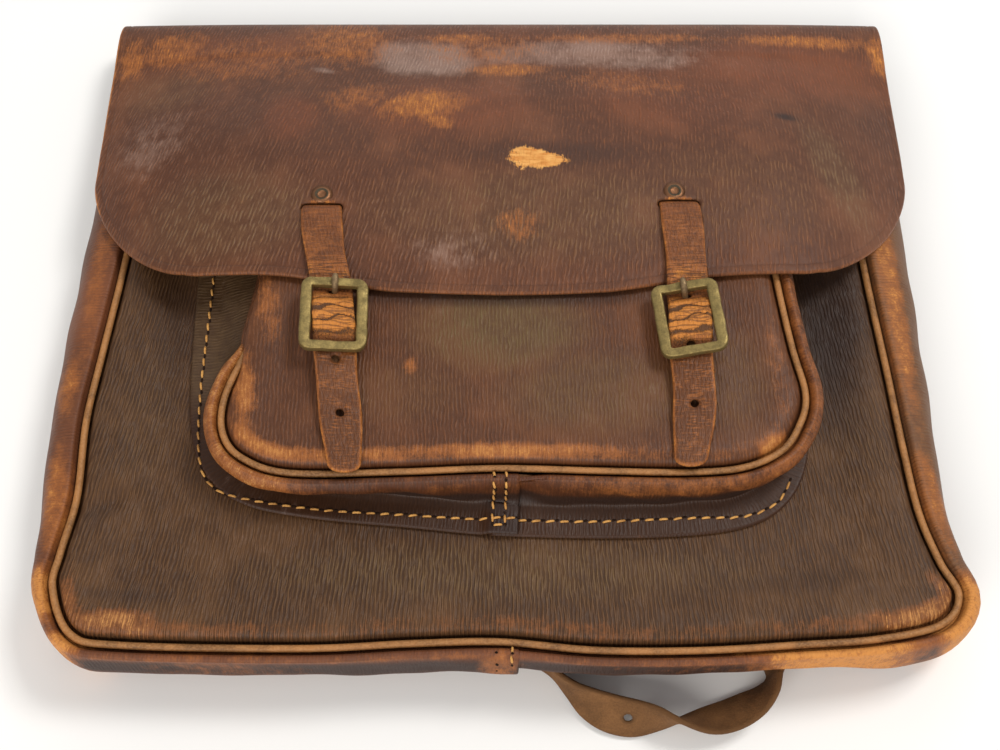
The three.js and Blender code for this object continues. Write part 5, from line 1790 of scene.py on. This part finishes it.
def shoulder_line(k):
    """Middle of the shoulder strap and its direction across, at row numbers."""
    row = between(SHOULDER, k)
    step_x, step_y = heading(SHOULDER, k)
    left = np.stack([-step_y, step_x], 1)
    left /= np.linalg.norm(left, axis=1, keepdims=True)
    lean = np.radians(row["lean"])
    across = np.column_stack([left * np.cos(lean)[:, None], np.sin(lean)])
    half = (SHOULDER_WIDTH * np.sin(lean) + SHOULDER_LEATHER * np.abs(np.cos(lean))) / 2
    raised = 1.4 * smooth(95, 118, row["y"])
    return np.column_stack([row["x"], row["y"], half + 0.45 + raised]), across


def shoulder_sheet():
    """The shoulder strap and its middle line."""
    line, across = shoulder_line(np.linspace(0, len(SHOULDER["x"]) - 1, 700))
    run = arc(line)

    def lift(a, w):
        centre = np.stack([np.interp(-w, run, line[:, n]) for n in range(3)], -1)
        side = np.stack([np.interp(-w, run, across[:, n]) for n in range(3)], -1)
        return centre - side * a[:, None]

    nearest = np.argmin(np.hypot(line[:, 0] - SHOULDER_HOLE["x"], line[:, 1] - SHOULDER_HOLE["y"]))
    holes = [ring_loop(0, -float(run[nearest]), SHOULDER_HOLE["radius"])]
    outline = box_loop(0, -run[-1] / 2, SHOULDER_WIDTH, run[-1], 5.0, 2.0)
    sheet = cut_sheet(outline, SHOULDER_LEATHER, [(-FAR, FAR, SHOULDER_STEP)], lift, holes)
    return sheet, line[::6]


# Thread lines
def thread_on(sheet_points, sheet_normals, line):
    """A line lifted to the nearest places of a surface in plan, with the surface's direction."""
    found = []
    for x, y in line:
        gap = (sheet_points[:, 0] - x) ** 2 + (sheet_points[:, 1] - y) ** 2
        nearest = np.argsort(gap)[:4]
        weight = 1 / (gap[nearest] + 0.05)
        weight /= weight.sum()
        found.append((weight @ sheet_points[nearest, 2], weight @ sheet_normals[nearest]))
    heights = np.array([z for z, _ in found])
    ups = np.array([up / np.linalg.norm(up) for _, up in found])
    return np.column_stack([line, heights]), ups


def wall_thread(grid, lift):
    """A line down the middle station of a grid, lifted off it, with the direction out of it."""
    up = outward(grid)[:, 1]
    return grid[:, 1] + up * np.reshape(lift, (-1, 1)), up


def stitch(length, thickness):
    """One stitch of thread: both ends dive into the leather."""
    t = np.linspace(-1, 1, 7)
    line = np.stack([t * length / 2, t * 0, thickness * (0.42 - 0.85 * t**4)], 1)
    return tube(line, thickness / 2 * np.array([0.6, 0.92, 1, 1, 1, 0.92, 0.6]), 6)


def stitch_hole(pitch, thickness):
    """The painted shade of the hole between two stitches, as a low dark dome."""
    rings = np.array([(1.0, -0.05), (0.8, 0.08), (0.05, 0.12)])
    points, faces = spun(rings, 9)
    points = points * (0.2 * pitch, thickness * 0.62, 1) + (pitch / 2, 0, 0)
    return points, [tuple(reversed(face)) for face in faces]


# Settings
class SatchelLeather(bpy.types.PropertyGroup):
    """Colours and grain of the leathers."""

    flap: FloatVectorProperty(
        name="Flap", description="Brown of the flap", subtype="COLOR", size=3, default=linear(113, 68, 41))
    panel: FloatVectorProperty(
        name="Front", description="Brown of the front panel", subtype="COLOR", size=3,
        default=linear(94, 64, 37))
    pocket: FloatVectorProperty(
        name="Pocket", description="Brown of the pocket's front", subtype="COLOR", size=3,
        default=linear(104, 62, 34))
    gusset: FloatVectorProperty(
        name="Gusset", description="Brown of the gussets", subtype="COLOR", size=3,
        default=linear(112, 68, 42))
    strap: FloatVectorProperty(
        name="Straps", description="Brown of the closing straps", subtype="COLOR", size=3,
        default=linear(131, 77, 37))
    piping: FloatVectorProperty(
        name="Piping", description="Tan of the rubbed piping", subtype="COLOR", size=3,
        default=linear(158, 106, 58))
    suede: FloatVectorProperty(
        name="Suede", description="Brown of the shoulder strap", subtype="COLOR", size=3,
        default=linear(130, 90, 54))
    grain: FloatProperty(
        name="Grain", description="Depth of the leather's grain", default=0.0006, unit="LENGTH")


class SatchelFittings(bpy.types.PropertyGroup):
    """Sizes and colours of the thread and the brass."""

    pitch: FloatProperty(
        name="Stitch pitch", description="From stitch to stitch", default=0.0058, unit="LENGTH")
    stitch: FloatProperty(
        name="Stitch length", description="Length of one stitch", default=0.0037, unit="LENGTH")
    thickness: FloatProperty(
        name="Thread", description="Thickness of the thread", default=0.00105, unit="LENGTH")
    slant: FloatProperty(
        name="Slant", description="Turn of a stitch from its line", default=0.12, subtype="ANGLE")
    thread: FloatVectorProperty(
        name="Thread colour", description="Colour of clean thread", subtype="COLOR", size=3,
        default=linear(208, 152, 78))
    brass: FloatVectorProperty(
        name="Brass", description="Colour of rubbed brass", subtype="COLOR", size=3,
        default=linear(156, 135, 84))
    patina: FloatVectorProperty(
        name="Patina", description="Colour of dull brass", subtype="COLOR", size=3,
        default=linear(110, 94, 54))
    seed: IntProperty(name="Seed", description="Sets the stitches' unevenness", default=5)


class SatchelStage(bpy.types.PropertyGroup):
    """Camera, light and floor."""

    lens: FloatProperty(name="Lens", description="Focal length in millimetres", default=50.0)
    pitch: FloatProperty(
        name="Tilt", description="Camera's turn from looking straight down", default=math.radians(26.6),
        subtype="ANGLE")
    floor: FloatVectorProperty(
        name="Floor", description="Colour of the floor", subtype="COLOR", size=3, default=(0.86, 0.85, 0.83))
    key: FloatProperty(name="Key light", description="Power of the main light", default=44.0, unit="POWER")
    fill: FloatProperty(name="Fill light", description="Power of the fill light", default=72.0, unit="POWER")
    back: FloatProperty(name="Back light", description="Power of the back light", default=14.0, unit="POWER")
    sky: FloatProperty(name="Sky", description="Strength of the light all round", default=0.52)


def tones(main, **others):
    """A leather's set of colours about its main one."""
    made = {
        "main": tuple(main),
        "deep": tuple(part * share for part, share in zip(main, (0.36, 0.3, 0.26))),
        "light": tuple(part * 1.35 for part in main),
        "red": linear(126, 66, 34),
        "olive": linear(112, 90, 60),
        # Dark brown for stains and cracks, and for painted shade in creases, folds and valleys
        "dark": linear(44, 29, 23),
        # Grey-lilac of painted sheen and of pale scuffs
        "grey": linear(160, 142, 136),
        "orange": linear(150, 88, 40),
        "tan": linear(198, 142, 80),
    }
    made.update(others)
    return made


class SatchelOperator(bpy.types.Operator):
    """What the operators that make the satchel share"""

    bl_options = {"REGISTER", "UNDO"}

    def crest(self, rows, x, y, edge, below):
        """Wear along the crest of a panel's rolled edge, at its bottom."""
        strength = np.interp(x, rows["x"], rows["strength"]) * smooth(below, below - 22, y)
        return strength * smooth(3.4, 5.2, edge) * (1 - smooth(8, 12.5, edge))


class SATCHEL_OT_stage(SatchelOperator):
    """Make the floor, the lights and the camera"""

    bl_idname = "satchel.stage"
    bl_label = "Stage"

    def light(self, name, power, place, size, colour):
        """An area light that faces the bag."""
        lamp = bpy.data.lights.new(name, "AREA")
        lamp.shape = "RECTANGLE"
        lamp.size, lamp.size_y = size
        lamp.energy = power
        lamp.color = colour
        holder = bpy.data.objects.new(name, lamp)
        holder.location = place
        away = holder.location.normalized()
        holder.rotation_euler = away.to_track_quat("Z", "Y").to_euler()
        bpy.context.scene.collection.objects.link(holder)

    def execute(self, context):
        settings = context.scene.satchel_stage
        camera = bpy.data.cameras.new("camera")
        camera.lens = settings.lens
        camera.sensor_width = SENSOR_WIDTH
        holder = bpy.data.objects.new("camera", camera)
        holder.location = CAMERA_PLACE
        holder.rotation_euler = (settings.pitch, 0, 0)
        context.scene.collection.objects.link(holder)
        context.scene.camera = holder
        points = [(x * FLOOR_HALF, y * FLOOR_HALF, 0) for x, y in ((-1, -1), (1, -1), (1, 1), (-1, 1))]
        floor = bpy.data.objects.new("floor", new_mesh("floor", points, [(0, 1, 2, 3)]))
        floor.data.materials.append(table_white("table_white", settings.floor))
        context.scene.collection.objects.link(floor)
        for name, lamp in LIGHTS.items():
            self.light(name, getattr(settings, name), **lamp)
        world = bpy.data.worlds.new("sky")
        world.use_nodes = True
        sky = next(node for node in world.node_tree.nodes if node.type == "BACKGROUND")
        sky.inputs["Color"].default_value = SKY_COLOUR
        sky.inputs["Strength"].default_value = settings.sky
        context.scene.world = world
        context.scene.view_settings.view_transform = "Standard"
        return {"FINISHED"}


class SATCHEL_OT_shoulder_strap(SatchelOperator):
    """Make the shoulder strap that lies under the bag"""

    bl_idname = "satchel.shoulder_strap"
    bl_label = "Shoulder strap"

    def execute(self, context):
        sheet, line = shoulder_sheet()
        brown = context.scene.satchel_leather.suede
        finish = suede("suede_leather", tuple(brown), tuple(part * 0.45 for part in brown))
        strap = put_sheet("shoulder_strap_leather", sheet, finish, "suede_leather", "shoulder_strap")
        path = line * MM
        tuple(path[0])
        float(arc(path)[-1])
        return {"FINISHED"}


class SATCHEL_OT_flap(SatchelOperator):
    """Make the back and the flap, cut as one piece"""

    bl_idname = "satchel.flap"
    bl_label = "Back and flap"

    def execute(self, context):
        settings = context.scene.satchel_leather
        # Its grey-lilac is the colour of its painted sheen and pale scuffs
        colours = tones(settings.flap, tan=linear(204, 132, 58), grey=linear(164, 138, 124))
        finish = leather(
            "flap_leather", colours, pitch=0.0018, run=0.015, depth=settings.grain * 0.6, lean=-1.1, net=0.3,
            contrast=0.54, gloss=0.42, fibre=1.3, line=0.16, broken=0.7)
        put_sheet("back_and_flap_leather", flap_sheet(), finish, "flap_leather", "back_and_flap")
        return {"FINISHED"}


class SATCHEL_OT_front(SatchelOperator):
    """Make the front panel"""

    bl_idname = "satchel.front"
    bl_label = "Front panel"

    def execute(self, context):
        settings = context.scene.satchel_leather
        sheet = panel_sheet(
            BODY_SEAM, 1, ALLOWANCE, LEATHER, front_height, front_seam, front_extra, no_cover)
        x, y = sheet.flat.T
        edge = sheet.marks["edge"]
        sheet.marks.update(
            wear=np.maximum(spots(FRONT_WORN, x, y), self.crest(FRONT_CREST, x, y, edge, -120)),
            # Painted shade on the rolled edge between its crest and the piping, partly darker leather
            dark=np.maximum(spots(FRONT_STAIN_AND_SHADE, x, y), 0.45 * bell(edge - 3.6, 1.3)),
            olive=spots(FRONT_OLIVE, x, y),
        )
        sheet.flat[:, 0] *= 1 + FRONT_FAN * (y + 160)
        colours = tones(settings.panel, tan=linear(190, 132, 74), orange=linear(128, 76, 38))
        finish = leather(
            "panel_leather", colours, pitch=0.0017, run=0.017, depth=settings.grain, net=0.55, contrast=0.72,
            fibre=0.5)
        put_sheet("front_panel_leather", sheet, finish, "panel_leather", "front_panel")
        return {"FINISHED"}


class SATCHEL_OT_gussets(SatchelOperator):
    """Make the two halves of the gusset"""

    bl_idname = "satchel.gussets"
    bl_label = "Gussets"

    def execute(self, context):
        settings = context.scene.satchel_leather
        colours = tones(settings.gusset, tan=linear(204, 136, 66), dark=linear(48, 28, 19))
        finish = leather(
            "gusset_leather", colours, pitch=0.0015, run=0.018, depth=settings.grain * 0.4, contrast=0.14,
            gloss=0.25, fibre=0.2)
        for side in ("left", "right"):
            sheet = gusset_sheet(side)
            sheet.points[:, 2] = np.maximum(sheet.points[:, 2], LEATHER / 2)
            x, y = sheet.points[:, :2].T
            row = np.repeat(np.arange(GUSSET_ROWS)[::-1], len(x) // GUSSET_ROWS)
            bottom = smooth(-146, -156, y)
            sheet.marks.update(
                wear=np.maximum(spots(GUSSET_WORN, x, y), 0.36 * bottom * bell(row - 26, 4)),
                # A band of painted shade down the bottom's rounded wall, below its worn crest
                dark=np.maximum(spots(GUSSET_DARK, x, y), 1.3 * bottom * bell(row - 36, 7)),
                red=0.4,
                olive=0.5 * smooth(140, 165, x) * (1 - bottom),
            )
            put_sheet(f"gusset_{side}_leather", sheet, finish, "gusset_leather", f"gusset_{side}")
        return {"FINISHED"}


class SATCHEL_OT_pocket(SatchelOperator):
    """Make the pocket's front and the two halves of its gusset"""

    bl_idname = "satchel.pocket"
    bl_label = "Pocket"

    def execute(self, context):
        settings = context.scene.satchel_leather
        sheet = panel_sheet(
            POCKET_LINE, POCKET_SCALE, POCKET_ALLOWANCE, POCKET_LEATHER, pocket_height, pocket_seam_height,
            no_cover, pocket_cover)
        x, y = sheet.flat.T
        edge = sheet.marks["edge"]
        sheet.marks.update(
            wear=np.maximum(spots(POCKET_WORN, x, y), self.crest(POCKET_CREST, x, y, edge, -60)),
            # Painted shade on the rolled edge between its crest and the piping, partly darker leather
            dark=np.maximum(spots(POCKET_PAINTED_SHADE, x, y), 0.4 * bell(edge - 2.9, 1.0)),
            olive=spots(POCKET_OLIVE, x, y),
        )
        colours = tones(settings.pocket, olive=linear(98, 78, 46), tan=linear(188, 126, 64))
        finish = leather(
            "pocket_leather", colours, pitch=0.0016, run=0.012, depth=settings.grain * 0.45, lean=0.2,
            net=0.3, contrast=0.45, fibre=0.5, broken=0.4)
        put_sheet("pocket_panel_leather", sheet, finish, "panel_leather", "pocket_panel")
        brown = tuple(mix(np.array(settings.gusset), np.array(settings.panel), 0.5) * (0.38, 0.34, 0.27))
        finish = leather(
            "pocket_gusset_leather", tones(brown), pitch=0.0015, run=0.014, depth=settings.grain * 0.3,
            contrast=0.22, fibre=0.2)
        for side in ("left", "right"):
            sheet = pocket_gusset_sheet(side)
            x, y = sheet.points[:, :2].T
            height = sheet.points[:, 2] - on_panel(x, y)
            rubbed = 0.2 + 0.2 * smooth(10, 60, x) + 0.36 * smooth(-70, -96, x)
            open_wall = smooth(-75, -45, y) * smooth(-60, -95, x)
            # Painted shade on the wall under the pocket's rolled edge, less where the wall stands open on
            # the left
            shaded = 0.8 * smooth(0.5, 3, height) * (1 - smooth(8, 13, height))
            sheet.marks.update(
                wear=rubbed * smooth(9.5, 15, height),
                dark=shaded * (1 - 0.9 * open_wall),
                red=0.45 * smooth(6, 12, height),
                grey=0.12 * (1 - smooth(0.5, 3, height)),
                olive=np.maximum(0.4 * smooth(-70, -20, y) * (1 - smooth(0.5, 5, height)), 0.45 * open_wall),
            )
            name = f"pocket_gusset_{side}"
            put_sheet(f"{name}_leather", sheet, finish, "gusset_leather", name)
        return {"FINISHED"}


class SATCHEL_OT_piping(SatchelOperator):
    """Make the cords in the seams"""

    bl_idname = "satchel.piping"
    bl_label = "Piping"

    def execute(self, context):
        tan = tuple(context.scene.satchel_leather.piping)
        finish = piping_leather("piping_leather", tan, tuple(part * 0.36 for part in tan))
        tree = cord_tree()
        lines = (
            ("body_piping", BODY_SEAM, front_seam, PIPING_RADIUS, 0.5),
            ("pocket_piping", POCKET_LINE, pocket_seam_height, POCKET_PIPING_RADIUS, 0.4),
        )
        for name, rows, height, radius, proud in lines:
            place = between(rows, paced_rows(rows, 1.6))
            z = height(place["y"]) + proud
            if rows is POCKET_LINE:
                z = z - 3.4 * pocket_cover(place["x"], place["y"])
            line = np.column_stack([place["x"], place["y"], z])
            mesh = guide(name, [line], [np.tile((0.0, 0.0, 1.0), (len(line), 1))])
            cord = grown(f"{name}_cord", tree, mesh, Radius=radius * MM, Sides=16, Material=finish)
            dress(cord, finish, "piping_leather", name)
        return {"FINISHED"}


class SATCHEL_OT_straps(SatchelOperator):
    """Make the closing straps and the tabs that hold their buckles"""

    bl_idname = "satchel.straps"
    bl_label = "Closing straps"

    def execute(self, context):
        settings = context.scene.satchel_leather
        finish = leather(
            "strap_leather", tones(settings.strap, tan=linear(202, 128, 54)), pitch=0.0016, run=0.006,
            depth=settings.grain * 0.6, contrast=0.3, fibre=0.3, crack=0.85)
        for side, closing in CLOSING.items():
            name = f"closing_strap_{side}"
            put_sheet(f"{name}_leather", closing_sheet(closing), finish, "strap_leather", name)
            name = f"buckle_tab_{side}"
            put_sheet(f"{name}_leather", tab_sheet(closing["buckle"]), finish, "strap_leather", name)
        return {"FINISHED"}


class SATCHEL_OT_brass(SatchelOperator):
    """Make the buckles and the rivets"""

    bl_idname = "satchel.brass"
    bl_label = "Buckles and rivets"

    def execute(self, context):
        settings = context.scene.satchel_fittings
        frame_finish = brass("brass", tuple(settings.brass), tuple(settings.patina))
        prong_finish = brass("prong_brass", linear(152, 128, 94), linear(106, 84, 58), 0.5)
        for n, (side, closing) in enumerate(CLOSING.items()):
            pieces = (("frame", buckle_frame(30 + n), frame_finish), ("prong", buckle_prong(), prong_finish))
            for kind, shape, finish in pieces:
                name = f"buckle_{kind}_{side}"
                points, faces = shape
                mesh = new_mesh(f"{name}_brass", in_buckle(closing["buckle"], points), faces)
                put(f"{name}_brass", mesh, finish, "brass", name)
        old = brass("rivet_brass", linear(132, 92, 64), linear(72, 62, 46), 0.45, "ring")
        tree = spot_tree()
        flap_grip = LEATHER + STRAP_LEATHER + 6 * CLEARANCE
        places = np.array([closing["rivet"] for closing in CLOSING.values()])
        heads = flap_lift(places[:, 0], places[:, 1]) + (0, 0, LEATHER / 2 + 0.1)
        self.rivets("flap_rivet", tree, old, flap_grip, heads, 1.0)
        places = np.array(list(SHOULDER_RIVETS.values()))
        grip = LEATHER + SHOULDER_LEATHER + 3.4 * CLEARANCE
        burrs = back_height(places[:, 0], places[:, 1]) + LEATHER / 2 + CLEARANCE
        self.rivets("shoulder_rivet", tree, old, grip, np.column_stack([places, burrs - grip]), -1.0)
        return {"FINISHED"}

    def rivets(self, name, tree, finish, grip, places, way):
        points, faces = spun(rivet_profile(grip))
        far = np.hypot(points[:, 0], points[:, 1])
        ring = smooth(1.7, 2.2, far) * (1 - smooth(2.7, 3.2, far))
        thing = pattern(f"{name}_pattern", points, faces, ring=ring)
        mesh = guide(name, [places[:1], places[1:]], [np.tile((0.0, 0.0, way), (2, 1))])
        made = grown(f"{name}s", tree, mesh, Thing=thing, Material=finish)
        drop(thing)
        dress(made, finish, "brass", f"{name}_left", f"{name}_right")


class SATCHEL_OT_thread(SatchelOperator):
    """Sew the pocket's flange and the laps of the gussets"""

    bl_idname = "satchel.thread"
    bl_label = "Stitching"

    def flange_line(self):
        """The thread line on the pocket's flange, and the direction out of the leather."""
        lap_x = 8
        left, right = (pocket_gusset_sheet(side) for side in ("left", "right"))
        shown = [(left, left.points[:, 0] < lap_x), (right, right.points[:, 0] > lap_x)]
        points = np.concatenate([half.surface()[kept] for half, kept in shown])
        normals = np.concatenate([half.normals()[kept] for half, kept in shown])
        level = normals[:, 2] > 0.8
        return thread_on(points[level], normals[level], line_of(FLANGE_THREAD, 2.0))

    def pocket_lap(self):
        """One thread line down the pocket's lap, across and up again."""
        at = np.linspace(3.3, 9.42, 74)
        lift = POCKET_LEATHER / 2 + POCKET_LIFT * flange_share(at)
        columns = []
        for x in POCKET_LAP_THREADS:
            grid = curve(pocket_gusset_rows(self.stations(POCKET_LINE, x)), at)
            columns.append(wall_thread(grid, lift))
        return tuple(np.concatenate([down, up[::-1]]) for down, up in zip(*columns))

    def body_lap(self, x, rows):
        """A thread line down the lap of the body's gusset."""
        lift = (LEATHER / 2 + lap_steps())[rows]
        return wall_thread(gusset_grid(self.stations(BODY_SEAM, x))[rows], lift)

    def stations(self, rows, x):
        """Three row numbers about a place along the bottom of a seam."""
        k = paced_rows(rows, 0.5)
        place = between(rows, k)
        bottom = place["y"] < -80
        return k[bottom][np.argmin(np.abs(place["x"][bottom] - x))] + np.array([-0.02, 0, 0.02])

    def execute(self, context):
        settings = context.scene.satchel_fittings
        tree = row_tree()
        sizes = (settings.pitch, settings.stitch, settings.thickness)
        pitch, length, thickness = (size / MM for size in sizes)
        flange = [self.flange_line()]
        lap = [self.pocket_lap()]
        lap_pitch = arc(lap[0][0])[-1] / (2 * LAP_STITCHES + 0.02)
        kept = [*lap, self.body_lap(BODY_LAP_THREADS[1], THREADED_ROWS)]
        holes = [*lap, *(self.body_lap(x, HOLED_ROWS) for x in BODY_LAP_THREADS)]
        thread = waxed_thread("waxed_thread", tuple(settings.thread))
        dark = awl_hole("awl_hole")
        lots = (
            ("flange_stitches", stitch(length, thickness), thread, flange, pitch),
            ("flange_stitch_holes", stitch_hole(pitch, thickness), dark, flange, pitch),
            ("lap_stitches", stitch(length * lap_pitch / pitch, thickness), thread, kept, lap_pitch),
            ("lap_stitch_holes", stitch_hole(lap_pitch, thickness), dark, holes, lap_pitch),
        )
        for name, shape, finish, lines, spacing in lots:
            thing = pattern(f"{name}_pattern", *shape)
            mesh = guide(name, [line for line, _ in lines], [up for _, up in lines])
            made = grown(
                name, tree, mesh, Thing=thing, Pitch=spacing * MM, Slant=settings.slant,
                Unevenness=UNEVENNESS, Seed=settings.seed, Material=finish,
            )
            drop(thing)
            dress(made, finish, "strap_leather")
        return {"FINISHED"}


class SATCHEL_PT_panel(bpy.types.Panel):
    """Lists the satchel's operators and settings"""

    bl_label = "School satchel"
    bl_space_type = "VIEW_3D"
    bl_region_type = "UI"
    bl_category = "Satchel"

    def draw(self, context):
        for operator in OPERATORS:
            self.layout.operator(operator.bl_idname)
        for label in SETTINGS:
            group = getattr(context.scene, label)
            box = self.layout.box()
            for name in group.bl_rna.properties.keys():
                if name not in ("rna_type", "name"):
                    box.prop(group, name)


SETTINGS = {
    "satchel_leather": SatchelLeather,
    "satchel_fittings": SatchelFittings,
    "satchel_stage": SatchelStage,
}
OPERATORS = (
    SATCHEL_OT_stage,
    SATCHEL_OT_shoulder_strap,
    SATCHEL_OT_flap,
    SATCHEL_OT_front,
    SATCHEL_OT_gussets,
    SATCHEL_OT_pocket,
    SATCHEL_OT_piping,
    SATCHEL_OT_straps,
    SATCHEL_OT_brass,
    SATCHEL_OT_thread,
)
CLASSES = (*SETTINGS.values(), *OPERATORS, SATCHEL_PT_panel)


def register():
    for made in CLASSES:
        bpy.utils.register_class(made)
    for label, group in SETTINGS.items():
        setattr(bpy.types.Scene, label, PointerProperty(type=group))


def unregister():
    for label in SETTINGS:
        delattr(bpy.types.Scene, label)
    for made in reversed(CLASSES):
        bpy.utils.unregister_class(made)


def main():
    register()
    for operator in OPERATORS:
        group, name = operator.bl_idname.split(".")
        getattr(getattr(bpy.ops, group), name)()
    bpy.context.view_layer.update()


if __name__ == "__main__":
    main()
